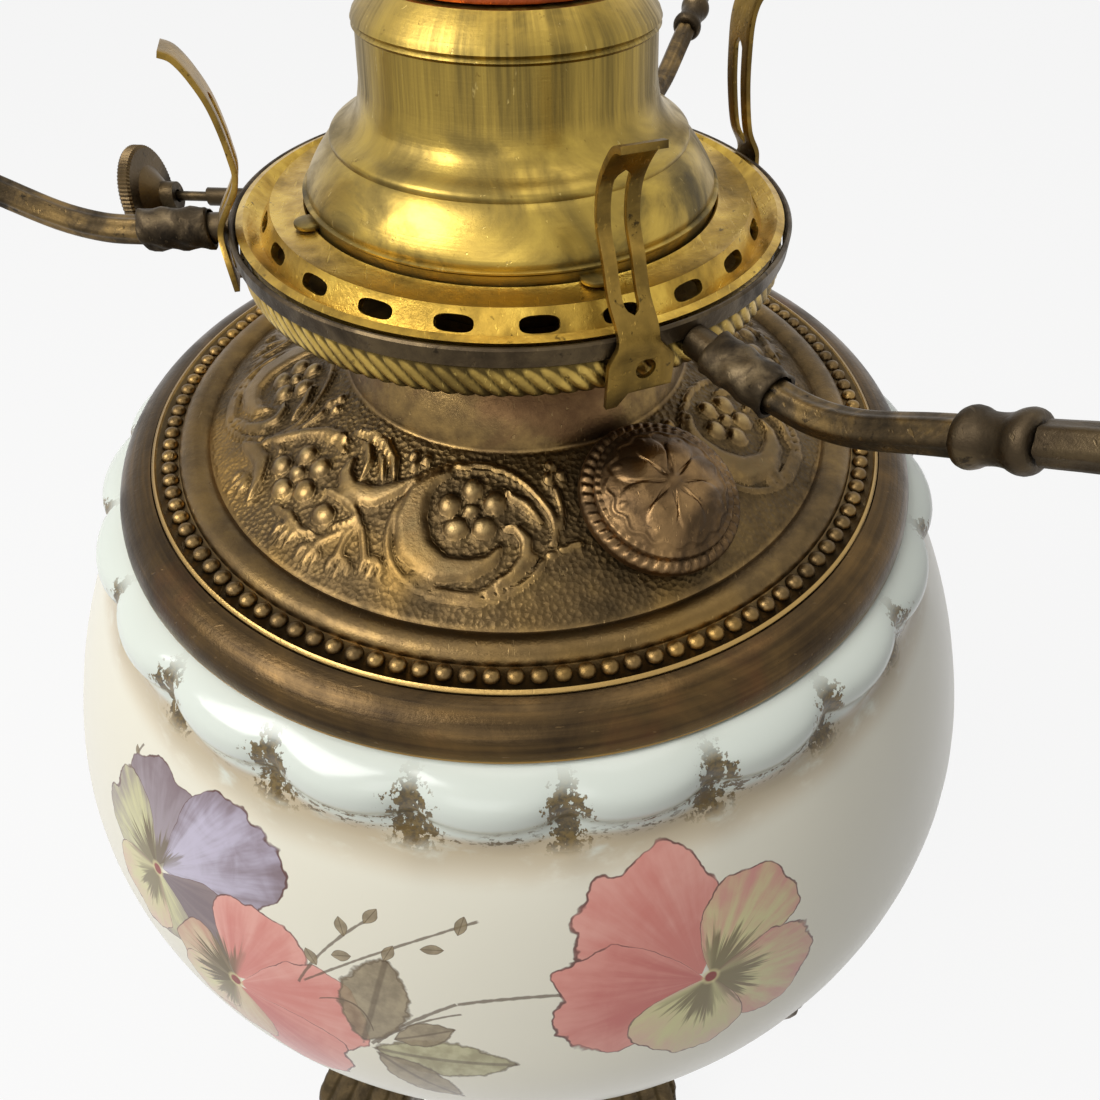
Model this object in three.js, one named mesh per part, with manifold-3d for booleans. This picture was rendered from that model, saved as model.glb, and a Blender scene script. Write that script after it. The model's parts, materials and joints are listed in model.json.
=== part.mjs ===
// An electrified parlour oil lamp: cast foot, lobed opal glass bowl, drop-in brass fount,
// centre-draught burner, electric converter with its lamp socket, and a three-armed shade tripod.
// Millimetres, +Z up. The lamp's axis is the Z axis and it stands on z = 0. Angles are in degrees,
// measured round Z from +X.
import * as THREE from 'three';
import { mergeVertices } from 'three/addons/utils/BufferGeometryUtils.js';
import Module from 'manifold-3d';

const wasm = await Module();
wasm.setup();

// Clearances
const gap = 0.3; // between two pieces that touch
const play = 0.6; // round a piece that drops in or passes through
const overrun = 2; // how far a cutting tool runs past a face

// Foot: a domed casting on four brackets, each with two scrolled toes and a shell between them, and
// a waisted neck that carries the bowl
const foot = {
  reach: 126, height: 85.7, toeRadius: 12, legWidth: 33, legRoot: 18, wall: 5, plate: 6.2, rimHeight: 3.8,
  rimWidth: 4.5, padRadius: 16, neckHeight: 29.5, neckRadius: 55.4, shellReach: 84, shellRadius: 21,
  shellLow: 4, shellHigh: 21,
};
const bracketCount = 4;
const firstBracketAngle = -98;
const toeSpread = 24.7;
const rod = { radius: 3.2, stickOut: 3.5 };
const nut = { radius: 7.5, height: 5.2 };
const footWasher = { radius: 14, height: 2.8 };
const seatGasket = { innerRadius: 20, outerRadius: 34, height: 1.7 };
const clampPlate = { radius: 24, height: 2 };

// Glass bowl
const bowl = {
  radius: 113, height: 153.4, mouthRadius: 76.8, rimWall: 3.8, wall: 4.2, grooveRadius: 86.6,
  lobeHeight: 12.2, lobeBulge: 2.4, holeRadius: 7, baseRadius: 34,
};
const lobeCount = 23;
const firstLobeAngle = -102.2;

// Shoulder ring cemented on the bowl's mouth
const ring = {
  overhang: 3.2, height: 6.3, wall: 1.3, cover: 1.4, ceiling: 3.2, skirtDepth: 8, skirtWall: 1.2,
  ledgeWidth: 5.2, ledgeTop: 4.7,
};
const cementHeight = 1.2;

// Drop-in fount
const fount = {
  wall: 0.9, tankDepth: 109, tankRadius: 63, rimHeight: 1.2, ridgeHeight: 2.1,
  borderWidth: 4.9, ridgeWidth: 6, fieldRise: 11.4, neckRadius: 33, neckRise: 8.6, collarBore: 24.5,
};
const draught = { radius: 15.2, wall: 1, height: 66 };
const collar = { wall: 2.9, height: 5.6, plug: 4.9, flange: 2.3, flangeHeight: 1 };
const filler = {
  reach: 46.5, radius: 11.2, wall: 1.2, capRadius: 13.8, capHeight: 7.2, capLip: 1.8, standOff: 1.4,
  neckRise: 3.5, neckDepth: 4, gasketHeight: 1.4, gasketWall: 2.2, flange: 1.8, flangeHeight: 0.8,
};
const fillerAngle = -61.5;

// Burner and its gallery
const burner = {
  plugWall: 1, plugDepth: 8.3, floor: 0.9, galleryRadius: 44.3, sheet: 0.8, galleryHeight: 8.3,
  rimFlare: 0.7, valleyRadius: 40.5, valleyDepth: 2.4, flangeRadius: 39.3, flangeRise: 1.5, rise: 5.6,
  saucerStart: 30,
};
const airSlot = { length: 5.2, width: 1.8 };
const slotCount = 22;
const firstSlotAngle = -102;
const rope = { height: 4.8, thickness: 1.1, drop: 0.1 };

// Wick raiser: the knob turns a pinion that drives a rack up and down
const raiser = {
  shaftOffset: 21, shaftHeight: 2.1, shaftRadius: 0.9, housingRadius: 1.7, housingReach: 63,
  housingStart: 8.6, knobReach: 76.6, knobRadius: 8.9, knobThickness: 2.4, hubRadius: 2.6, hubLength: 5,
  pinionWidth: 2.8, toothPitch: 1.6, toothDepth: 0.45, toothRelief: 0.25, toothTip: 0.4, toothBase: 0.7,
  windowWidth: 14,
  rackThickness: 1.3, rackWidth: 3, rackLength: 25, carrierHeight: 6, slotPlay: 0.8,
};
const raiserAngle = -5.2;
const pinionTeeth = 12;
const rackTeeth = 15;

// Wick tube and the stepped dome that turns the burner into an electric stand
const dome = {
  footRadius: 33.4, neckRadius: 21.8, height: 28.7, stepHeight: 3.1, bulgeHeight: 9.4, flareHeight: 7.8,
  beadRise: 0.4, shoulderHeight: 3.9, shoulderInset: 3.2, boreRadius: 13.2, wall: 0.8, sink: 0.5,
  earReach: 3.2, earWidth: 4.6, earHeight: 0.7,
};
const earAngles = [-155, -71, 24];
const wickTube = { wall: 0.8, topGap: 1.8, depth: 14 };

// Electric converter on top of the dome
const adapter = {
  radius: 17.6, height: 1.5, nippleRadius: 4.9, nippleWall: 1.5, nippleDepth: 9, nippleRise: 9.2,
  washerRadius: 16.2, washerHeight: 1.2, nutRadius: 7.8, nutHeight: 3.1,
};
const socket = {
  radius: 17.6, capHeight: 15.5, wall: 0.8, hubRadius: 9, shellLap: 6, shellHeight: 40, lipFlare: 0.9,
  linerWall: 0.6, bodyHeight: 15.5, bodyDrop: 0.6, screwRadius: 13.6, screwWall: 0.7, screwHeight: 21,
  threadDepth: 0.6, contactRadius: 3, contactHeight: 1.6, bushingRadius: 3.6, bushingBore: 2,
  bushingLength: 5.5, bushingHeight: 5.4,
};
const threadTurns = 3;
const bushingAngle = 96;
const key = {
  shaftRadius: 1.6, depth: 6, reach: 27, paddleWidth: 12, paddleHeight: 10, paddleThickness: 2.4,
  height: 8,
};
const keyAngle = -20;

// Shade tripod: a band round the gallery, three arms and three slotted spring prongs
const tripod = {
  bandWall: 0.9, bandHeight: 3, armRadius: 2.3, flute: 0.35, stubLength: 7.6, sleeveRadius: 3.4,
  sleeveLength: 11.2, rootDrop: 0.6, bendRadius: 62, ferruleReach: 88, ferruleLength: 7.6,
  ferruleRadius: 3.3, tipRadius: 121, tipRise: 50, armRise: 11,
};
const armAngles = { right: -58, back: 61, left: 183 };
const claw = { width: 10, depth: 11.8, sheet: 1.5, outerLip: 12, innerLip: 5 };
const prong = {
  sheet: 0.9, width: 5.9, slotWidth: 2.2, height: 32, plateHeight: 7.8, plateLeft: 4.1, plateRight: 5.8,
  holeRadius: 1.5, holeOffset: 1.5, holeHeight: 3.4, tailWidth: 1.8, tailDepth: 1.9, slotStart: 10.5,
  slotEnd: 26.5,
};
// Each strap's bends are shares of its lean inwards and of its height
const prongs = [
  {
    name: 'front', angle: -70.5, lean: 8.2, lip: 2.4, tip: 1,
    bends: [[0, 0], [0, 0.27], [0.43, 0.38], [0.72, 0.51], [1, 0.63], [1, 0.78], [0.65, 0.92]],
  },
  {
    name: 'back', angle: 21, lean: 6, lip: 2.4, tip: 1,
    bends: [[0, 0], [0, 0.27], [0.42, 0.4], [0.75, 0.6], [0.93, 0.78], [1, 0.93], [0.85, 1.02]],
  },
  {
    name: 'left', angle: 192.5, lean: 4.4, lip: 1.6, tip: 0.8,
    bends: [[0, 0], [0, 0.27], [0.9, 0.46], [1, 0.6], [0.86, 0.78], [0.56, 0.9], [0.2, 0.98]],
  },
];

// Finishes
function finish(color, roughness, metalness) {
  return new THREE.MeshStandardMaterial({ color, roughness, metalness });
}
const darkBronze = finish(0x3f352a, 0.5, 0.9);
const brownBrass = finish(0x5a4630, 0.42, 0.95);
const wornBrass = finish(0xa08a3c, 0.35, 1);
const copper = finish(0xa8542c, 0.35, 1);
const steel = finish(0x6f6d68, 0.45, 1);
const opalGlass = finish(0xe4e6dc, 0.12, 0);
const plaster = finish(0xd8d0c0, 0.9, 0);
const cork = finish(0x9a7448, 0.9, 0);
const porcelain = finish(0xe8e4dc, 0.3, 0);
const fibre = finish(0x5c4a3a, 0.85, 0);
const blackPlastic = finish(0x16130f, 0.4, 0);

// Geometry helpers

const turn = (degrees) => THREE.MathUtils.degToRad(degrees);

// A merged, index-only copy of a geometry, without triangles that have no area
function welded(geometry) {
  const bare = geometry.clone();
  bare.deleteAttribute('normal');
  bare.deleteAttribute('uv');
  const merged = mergeVertices(bare);
  const corners = merged.index.array;
  const kept = [];
  for (let i = 0; i < corners.length; i += 3) {
    const [a, b, c] = [corners[i], corners[i + 1], corners[i + 2]];
    if (a !== b && b !== c && c !== a) kept.push(a, b, c);
  }
  merged.setIndex(kept);
  return merged;
}

function toSolid(geometry) {
  const mesh = welded(geometry);
  const vertProperties = Float32Array.from(mesh.attributes.position.array);
  const triVerts = Uint32Array.from(mesh.index.array);
  return new wasm.Manifold(new wasm.Mesh({ numProp: 3, vertProperties, triVerts }));
}

function toGeometry(solid) {
  const mesh = solid.getMesh();
  const geometry = new THREE.BufferGeometry();
  geometry.setAttribute('position', new THREE.BufferAttribute(mesh.vertProperties, 3));
  geometry.setIndex(new THREE.BufferAttribute(mesh.triVerts, 1));
  return geometry;
}

function join(first, ...others) {
  return toGeometry(others.reduce((sum, part) => sum.add(toSolid(part)), toSolid(first)));
}

function cut(body, ...tools) {
  return toGeometry(tools.reduce((rest, tool) => rest.subtract(toSolid(tool)), toSolid(body)));
}

function common(first, second) {
  return toGeometry(toSolid(first).intersect(toSolid(second)));
}

// A closed outline of [radius, height] points turned round Z
function turned(outline, segments) {
  const loop = outline.map(([radius, height]) => new THREE.Vector2(radius, height));
  if (THREE.ShapeUtils.area(loop) < 0) loop.reverse();
  loop.push(loop[0].clone());
  return welded(new THREE.LatheGeometry(loop, segments).rotateX(turn(90)));
}

function tube(innerRadius, outerRadius, low, high, segments) {
  const outline = [[innerRadius, low], [outerRadius, low], [outerRadius, high], [innerRadius, high]];
  return turned(outline, segments);
}

// A shape of [x, y] points made a prism that rises from z = 0
function prism(points, depth, holes = []) {
  const shape = new THREE.Shape(points.map(([x, y]) => new THREE.Vector2(x, y)));
  shape.holes = holes.map((hole) => new THREE.Path(hole.map(([x, y]) => new THREE.Vector2(x, y))));
  return welded(new THREE.ExtrudeGeometry(shape, { depth, bevelEnabled: false }));
}

// A shape drawn in the plane of X (outwards) and Z (up), made a plate of a width centred on Y
function uprightPrism(points, width) {
  return prism(points, width).rotateX(turn(90)).translate(0, width / 2, 0);
}

function block(width, depth, height) {
  return welded(new THREE.BoxGeometry(width, depth, height));
}

function hexagon(radius) {
  return [0, 1, 2, 3, 4, 5].map((side) => {
    const angle = turn(60 * side);
    return [radius * Math.cos(angle), radius * Math.sin(angle)];
  });
}

function circle(radius, count, x = 0, y = 0) {
  return Array.from({ length: count }, (_, step) => {
    const angle = turn((360 * step) / count);
    return [x + radius * Math.cos(angle), y + radius * Math.sin(angle)];
  });
}

function hexNut(radius, bore, height) {
  return prism(hexagon(radius), height, [circle(bore, 16)]);
}

// Points of an ellipse's arc about [x, z], from one angle to another
function arc(x, z, radiusX, radiusZ, from, to, steps) {
  return Array.from({ length: steps + 1 }, (_, step) => {
    const angle = turn(from + ((to - from) * step) / steps);
    return [x + radiusX * Math.cos(angle), z + radiusZ * Math.sin(angle)];
  });
}

// The same open line moved sideways by a wall's thickness, listed backwards to close an outline
function innerWall(line, wall) {
  return line.map(([x, z], i) => {
    const [ax, az] = line[Math.max(i - 1, 0)];
    const [bx, bz] = line[Math.min(i + 1, line.length - 1)];
    const length = Math.hypot(bx - ax, bz - az);
    return [x - (wall * (bz - az)) / length, z + (wall * (bx - ax)) / length];
  }).reverse();
}

// A section swept along points in the upright plane of X and Z
function swept(section, points, steps) {
  const shape = new THREE.Shape(section.map(([x, y]) => new THREE.Vector2(x, y)));
  const path = new THREE.CatmullRomCurve3(points.map(([x, z]) => new THREE.Vector3(x, 0, z)));
  return welded(new THREE.ExtrudeGeometry(shape, { steps, extrudePath: path, bevelEnabled: false }));
}

function mix(a, b, share) {
  return a + (b - a) * share;
}

const lamp = new THREE.Group();

function group(parent) {
  const child = new THREE.Group();
  parent.add(child);
  return child;
}

function piece(parent, name, geometry, material) {
  geometry.computeVertexNormals();
  const mesh = new THREE.Mesh(geometry, material.clone());
  mesh.name = name;
  parent.add(mesh);
  return mesh;
}

// Foot

function legSolid() {
  const toe = [foot.reach - foot.toeRadius, foot.toeRadius];
  const outerShares = [[0.52, 0.6], [0.66, 0.57], [0.78, 0.48], [0.88, 0.35]];
  const innerShares = [[0.78, 0.13], [0.72, 0.24], [0.68, 0.36], [0.62, 0.5]];
  const side = [
    ...outerShares.map(([x, z]) => [x * foot.reach, z * foot.height]),
    ...arc(toe[0], toe[1], foot.toeRadius, foot.toeRadius, 50, -90, 4),
    [toe[0] - foot.toeRadius, 0],
    ...innerShares.map(([x, z]) => [x * foot.reach, z * foot.height]),
  ];
  const widthShares = [[0.5, 0], [0.66, 0.35], [0.84, 1], [0.95, 0.85], [1, 0.3]];
  const half = widthShares.map(([x, share]) => [x * foot.reach, mix(foot.legRoot, foot.legWidth, share) / 2]);
  const plan = [...half, ...half.map(([x, y]) => [x, -y]).reverse()];
  return common(uprightPrism(side, foot.legWidth), prism(plan, foot.height));
}

// Two toes with a shell between them, centred on +X
function bracket() {
  const shell = prism(circle(foot.shellRadius, 12, foot.shellReach), foot.shellHigh - foot.shellLow)
    .translate(0, 0, foot.shellLow);
  return join(shell, legSolid().rotateZ(turn(toeSpread)), legSolid().rotateZ(turn(-toeSpread)));
}

const footBore = rod.radius + gap;
const castingTop = foot.height - foot.neckHeight;
const castingUnder = castingTop - foot.plate;

function footCasting() {
  const domeShares = [[0.75, 0.11], [0.75, 0.17], [0.735, 0.28], [0.69, 0.43], [0.62, 0.55], [0.5, 0.63]];
  const line = domeShares.map(([r, z]) => [r * foot.reach, z * foot.height]);
  const shell = turned([
    ...line, [foot.neckRadius, castingTop], [footBore, castingTop], [footBore, castingUnder],
    [foot.padRadius, castingUnder], ...innerWall(line, foot.wall),
  ], 36);
  const brackets = Array.from({ length: bracketCount }, (_, i) => {
    return bracket().rotateZ(turn(firstBracketAngle + (360 / bracketCount) * i));
  });
  return join(shell, ...brackets);
}

function footNeck() {
  const neckShares = [[0.4, 0.72], [0.385, 0.83], [0.43, 0.93], [0.484, 1]];
  const low = castingTop + gap;
  const line = [[foot.neckRadius, low], ...neckShares.map(([r, z]) => [r * foot.reach, z * foot.height])];
  const [, waist] = line;
  const rim = line[line.length - 1][0];
  const plateUnder = foot.height - foot.plate;
  return turned([
    ...line, [rim, foot.height + foot.rimHeight], [rim - foot.rimWidth, foot.height + foot.rimHeight],
    [rim - foot.rimWidth - foot.rimHeight / 2, foot.height], [footBore, foot.height], [footBore, plateUnder],
    [waist[0] - foot.wall, plateUnder], [waist[0] - foot.wall, waist[1]], [foot.neckRadius - foot.wall, low],
  ], 36);
}

const gasketBase = foot.height + gap;
const bowlBase = gasketBase + seatGasket.height + gap;
const plateBase = bowlBase + bowl.wall + gap;
const clampNutBase = plateBase + clampPlate.height + gap;
const washerTop = castingUnder - gap;
const footNutBase = washerTop - footWasher.height - gap - nut.height;
const rodBottom = footNutBase - rod.stickOut;
const rodTop = clampNutBase + nut.height + rod.stickOut;

const base = group(lamp);
piece(base, 'foot_casting', footCasting(), darkBronze);
piece(base, 'foot_neck', footNeck(), darkBronze);
piece(base, 'foot_washer',
  tube(footBore, footWasher.radius, washerTop - footWasher.height, washerTop, 20), steel);
piece(base, 'foot_nut', hexNut(nut.radius, footBore, nut.height), steel).position.z = footNutBase;
piece(base, 'clamp_rod',
  turned([[0, rodBottom], [rod.radius, rodBottom], [rod.radius, rodTop], [0, rodTop]], 14), steel);
piece(base, 'bowl_seat_gasket',
  tube(seatGasket.innerRadius, seatGasket.outerRadius, gasketBase, gasketBase + seatGasket.height, 24), cork);
piece(base, 'bowl_clamp_plate',
  tube(footBore, clampPlate.radius, plateBase, plateBase + clampPlate.height, 24), steel);
piece(base, 'bowl_clamp_nut', hexNut(nut.radius, footBore, nut.height), steel).position.z = clampNutBase;

// Glass bowl

const grooveHeight = bowl.height - bowl.lobeHeight - ring.cover - gap * 2;
const bodyShares = [
  [0.5, 0.016], [0.69, 0.066], [0.858, 0.173], [0.96, 0.316], [1, 0.489], [0.991, 0.645], [0.93, 0.782],
  [0.853, 0.9],
];
const lobeShares = [[0.92, 0.24], [0.94, 0.5], [0.76, 0.8], [0.4, 0.97]];
const lobeSpread = bowl.grooveRadius - bowl.mouthRadius;

function bowlBody() {
  return bodyShares.map(([r, z]) => [r * bowl.radius, z * grooveHeight]);
}

function bowlOutline() {
  const body = bowlBody();
  const lobes = lobeShares.map(([r, z]) => {
    return [bowl.mouthRadius + r * lobeSpread, grooveHeight + z * bowl.lobeHeight];
  });
  const inside = innerWall([[bowl.baseRadius, 0], ...body.filter((_, i) => i % 2 === 1)], bowl.wall);
  const throat = grooveHeight + bowl.lobeHeight / 2;
  return [
    [bowl.holeRadius, 0], [bowl.baseRadius, 0], ...body, [bowl.grooveRadius, grooveHeight], ...lobes,
    [bowl.mouthRadius, grooveHeight + bowl.lobeHeight], [bowl.mouthRadius, bowl.height],
    [bowl.mouthRadius - bowl.rimWall, bowl.height], [bowl.mouthRadius - bowl.rimWall, throat],
    ...inside, [bowl.holeRadius, bowl.wall],
  ];
}

function glassBowl() {
  const geometry = turned(bowlOutline(), lobeCount * 2);
  geometry.rotateZ(turn(firstLobeAngle + 90));
  const place = geometry.attributes.position;
  for (let i = 0; i < place.count; i += 1) {
    const [x, y, z] = [place.getX(i), place.getY(i), place.getZ(i)];
    const radius = Math.hypot(x, y);
    const up = (z - grooveHeight) / bowl.lobeHeight;
    if (up > 0 && up < 1 && radius > bowl.mouthRadius) {
      const round = Math.atan2(y, x) - turn(firstLobeAngle);
      const puff = Math.abs(Math.sin((lobeCount * round) / 2)) - 0.7;
      const grow = 1 + (bowl.lobeBulge * puff * Math.sin(Math.PI * up)) / radius;
      place.setXY(i, x * grow, y * grow);
    }
  }
  return geometry;
}

piece(base, 'glass_bowl', glassBowl(), opalGlass).position.z = bowlBase;

// Everything above the bowl's mouth hangs on this level, the shoulder ring's lower edge

const head = group(lamp);
head.position.z = bowlBase + bowl.height - ring.cover;

// Shoulder ring

const ringRadius = bowl.mouthRadius + ring.overhang;
const ringInner = bowl.mouthRadius - bowl.rimWall - gap;
const ringRoll = ringRadius - ringInner - gap;

function shoulderRing() {
  const crown = ringInner + gap;
  const ceilingAngle = THREE.MathUtils.radToDeg(Math.asin(ring.ceiling / (ring.height - ring.wall)));
  const skirt = ringInner - ring.skirtWall;
  const ledgeUnder = ring.ledgeTop - ring.wall;
  return turned([
    ...arc(crown, 0, ringRoll, ring.height, 0, 90, 5), [ringInner, ring.height], [ringInner, ring.ledgeTop],
    [skirt - ring.ledgeWidth, ring.ledgeTop], [skirt - ring.ledgeWidth, ledgeUnder], [skirt, ledgeUnder],
    [skirt, -ring.skirtDepth], [ringInner, -ring.skirtDepth], [ringInner, ring.ceiling],
    ...arc(crown, 0, ringRoll - ring.wall, ring.height - ring.wall, ceilingAngle, 0, 2),
  ], 40);
}

piece(head, 'shoulder_ring', shoulderRing(), brownBrass);
piece(head, 'cement_ring',
  tube(bowl.mouthRadius - bowl.rimWall, bowl.mouthRadius, ring.cover + gap, ring.cover + gap + cementHeight, 40),
  plaster);

// Fount

const fountSeat = ring.ledgeTop + gap;
const discRadius = ringInner - gap;
const borderInner = discRadius - fount.borderWidth;
const fieldRadius = borderInner - fount.ridgeWidth;
const collarRadius = fount.collarBore + collar.wall;
const neckTopRadius = collarRadius + gap + fount.wall;
const borderTop = fountSeat + fount.rimHeight;
const fieldLow = borderTop + fount.wall;
const fieldHigh = fieldLow + fount.fieldRise;
const neckTop = fieldHigh + fount.neckRise;

function fountTop() {
  const ridge = arc(borderInner - fount.ridgeWidth / 2, borderTop, fount.ridgeWidth / 2, fount.ridgeHeight,
    0, 150, 4);
  const neckSpread = fount.neckRadius - neckTopRadius;
  const neckShares = [[0.78, 0.3], [0.36, 0.68], [0.08, 0.92]];
  const line = [
    [discRadius, fountSeat + fount.wall], [discRadius - fount.wall, borderTop], ...ridge,
    [fieldRadius, fieldLow], [mix(fieldRadius, fount.neckRadius, 0.5), mix(fieldLow, fieldHigh, 0.5)],
    [fount.neckRadius, fieldHigh],
    ...neckShares.map(([r, z]) => [neckTopRadius + r * neckSpread, fieldHigh + z * fount.neckRise]),
    [neckTopRadius, neckTop],
  ];
  const lining = line.filter((_, i) => i !== 2 && i !== 4);
  return turned([...line, ...innerWall(lining, fount.wall)], 36);
}

const fieldSlope = Math.atan2(fount.fieldRise, fieldRadius - fount.neckRadius);
const fillerShare = (fieldRadius - filler.reach) / (fieldRadius - fount.neckRadius);
const fillerHeight = mix(fieldLow, fieldHigh, fillerShare);

// Puts a piece drawn upright about Z where the filler stands, square to the sloping top
function atFiller(target) {
  return target.rotateY(fieldSlope).translate(filler.reach, 0, fillerHeight).rotateZ(turn(fillerAngle));
}

const fillerHole = atFiller(
  turned([[0, -overrun * 2], [filler.radius + gap, -overrun * 2], [filler.radius + gap, overrun * 2],
    [0, overrun * 2]], 24));
const tankTop = fountSeat + fount.rimHeight;
const tankBottom = tankTop - fount.tankDepth;
const draughtHole = draught.radius + gap;

piece(head, 'fount_top', cut(fountTop(), fillerHole), brownBrass);
piece(head, 'fount_tank', tube(fount.tankRadius - fount.wall, fount.tankRadius, tankBottom, tankTop, 24),
  wornBrass);
piece(head, 'tank_bottom',
  tube(draughtHole, fount.tankRadius - fount.wall - gap, tankBottom, tankBottom + fount.wall, 24), wornBrass);
piece(head, 'draught_tube',
  tube(draught.radius - draught.wall, draught.radius, tankBottom - fount.wall, tankTop + draught.height, 28),
  wornBrass);

const collarSeat = neckTop + gap;
const collarTop = collarSeat + collar.height;
piece(head, 'burner_collar', turned([
  [fount.collarBore, neckTop - collar.plug], [collarRadius, neckTop - collar.plug], [collarRadius, collarSeat],
  [collarRadius + collar.flange, collarSeat], [collarRadius + collar.flange, collarSeat + collar.flangeHeight],
  [collarRadius, collarSeat + collar.flangeHeight], [collarRadius, collarTop], [fount.collarBore, collarTop],
], 28), brownBrass);

// Filler neck, gasket and screw cap

const fillerNeck = turned([
  [filler.radius - filler.wall, -filler.neckDepth], [filler.radius, -filler.neckDepth],
  [filler.radius, gap], [filler.radius + filler.flange, gap],
  [filler.radius + filler.flange, gap + filler.flangeHeight], [filler.radius, gap + filler.flangeHeight],
  [filler.radius, filler.neckRise], [filler.radius - filler.wall, filler.neckRise],
], 24);
const gasketLow = filler.neckRise + gap;
const capCeiling = gasketLow + filler.gasketHeight + gap;
const capCrown = filler.standOff + filler.capHeight;
const fillerGasket = tube(filler.radius - filler.gasketWall, filler.radius, gasketLow,
  gasketLow + filler.gasketHeight, 24);
const fillerCap = turned([
  [0, capCeiling], [filler.radius + gap, capCeiling], [filler.radius + play, capCeiling - gap],
  [filler.radius + play, filler.standOff + filler.flangeHeight],
  [filler.capRadius, filler.standOff + filler.flangeHeight],
  [filler.capRadius, filler.standOff + filler.capLip],
  ...arc(0, filler.standOff + filler.capLip, filler.capRadius - filler.wall, filler.capHeight - filler.capLip,
    8, 90, 4),
], 24);
piece(head, 'filler_neck', atFiller(fillerNeck), brownBrass);
piece(head, 'filler_gasket', atFiller(fillerGasket), cork);
piece(head, 'filler_cap', atFiller(fillerCap), brownBrass);

// Burner base, which screws into the collar

const burnerSeat = collarTop + gap;
const burnerFloor = burnerSeat + burner.floor;
const plugRadius = fount.collarBore - gap;
const domeInner = dome.neckRadius - dome.wall;
const wickOuter = domeInner - play;
const galleryBase = burnerSeat + burner.rise;
const galleryTop = galleryBase + burner.galleryHeight;
const saucerRim = burner.galleryRadius - burner.sheet - gap;
const shaftLevel = burnerFloor + raiser.shaftHeight;
const pitchRadius = (pinionTeeth * raiser.toothPitch) / (2 * Math.PI);
const pinionTip = pitchRadius + raiser.toothDepth - raiser.toothRelief / 2;
const pinionRoot = pitchRadius - raiser.toothDepth;

function housingTool(radius) {
  const reach = [-raiser.housingReach, -raiser.housingStart];
  return turned([[0, reach[0]], [radius, reach[0]], [radius, reach[1]], [0, reach[1]]], 12)
    .rotateY(turn(90))
    .translate(0, raiser.shaftOffset, shaftLevel)
    .rotateZ(turn(raiserAngle));
}

// Room for the pinion, so wide along its shaft
function pinionWindow(width) {
  const reach = pinionTip + raiser.slotPlay;
  return block(width, reach * 2, reach * 2)
    .translate(0, raiser.shaftOffset, shaftLevel)
    .rotateZ(turn(raiserAngle));
}

function burnerBase() {
  const saucerMid = mix(burner.saucerStart, saucerRim, 0.55);
  const midRise = mix(burnerSeat, galleryBase, 0.36);
  const shape = turned([
    [wickOuter + gap, burnerSeat], [plugRadius - burner.plugWall, burnerSeat],
    [plugRadius - burner.plugWall, burnerSeat - burner.plugDepth],
    [plugRadius, burnerSeat - burner.plugDepth], [plugRadius, burnerSeat],
    [burner.saucerStart, burnerSeat], [saucerMid, midRise], [saucerRim, galleryBase],
    [saucerRim, galleryBase + burner.floor], [saucerMid - gap, midRise + burner.floor],
    [burner.saucerStart, burnerFloor], [wickOuter + gap, burnerFloor],
  ], 32);
  const window = pinionWindow(raiser.pinionWidth + raiser.slotPlay * 2);
  return cut(shape, housingTool(raiser.housingRadius + gap), window);
}

// Gallery pan with its ring of air slots, and the diagonally knurled ring round it

function galleryPan() {
  const inner = dome.footRadius + gap + gap / 3;
  const skirtTop = galleryTop - burner.rimFlare;
  const valley = galleryTop - burner.valleyDepth + burner.sheet;
  const flangeTop = galleryTop + burner.flangeRise;
  const out = burner.galleryRadius;
  const ridge = mix(burner.valleyRadius, out, 0.6);
  const crest = galleryTop + burner.rimFlare / 2;
  const shape = turned([
    [out - burner.sheet, galleryBase], [out, galleryBase], [out, skirtTop],
    [out + burner.rimFlare, galleryTop], [mix(ridge, out, 0.6), crest], [ridge, galleryTop - gap],
    [burner.valleyRadius + burner.sheet, valley],
    [burner.flangeRadius, galleryTop - burner.sheet],
    [burner.flangeRadius, flangeTop], [inner, flangeTop], [inner, flangeTop - burner.sheet],
    [burner.flangeRadius - burner.sheet, flangeTop - burner.sheet],
    [burner.flangeRadius - burner.sheet, galleryTop - burner.sheet * 2],
    [burner.valleyRadius + burner.sheet, valley - burner.sheet],
    [ridge, galleryTop - gap - burner.sheet], [out - burner.sheet, skirtTop],
  ], slotCount * 2);
  const slots = Array.from({ length: slotCount }, (_, i) => {
    return block(airSlot.width, airSlot.length, burner.valleyDepth * 3)
      .translate(burner.valleyRadius, 0, valley)
      .rotateZ(turn(firstSlotAngle + (360 / slotCount) * i));
  });
  return cut(shape, ...slots);
}

const ropeBase = galleryBase + rope.drop;
const ropeInner = burner.galleryRadius + gap;
const ropeRadius = ropeInner + rope.thickness;
piece(head, 'burner_base', burnerBase(), wornBrass);
piece(head, 'gallery_pan', galleryPan(), wornBrass);
piece(head, 'rope_ring', turned([
  [ropeInner, ropeBase], [ropeRadius - gap, ropeBase], [ropeRadius, ropeBase + gap],
  [ropeRadius, ropeBase + rope.height - gap], [ropeRadius - gap, ropeBase + rope.height],
  [ropeInner, ropeBase + rope.height],
], 36), wornBrass);

// Wick raiser

const rackPitchLine = raiser.shaftOffset - pitchRadius;
const rackTip = rackPitchLine + raiser.toothDepth - raiser.toothRelief;
const rackRoot = rackPitchLine - raiser.toothDepth;
const wickInner = wickOuter - wickTube.wall;
const wickTop = galleryTop + burner.flangeRise + dome.height - dome.shoulderHeight - wickTube.topGap;
const wickBottom = burnerSeat - wickTube.depth;

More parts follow.
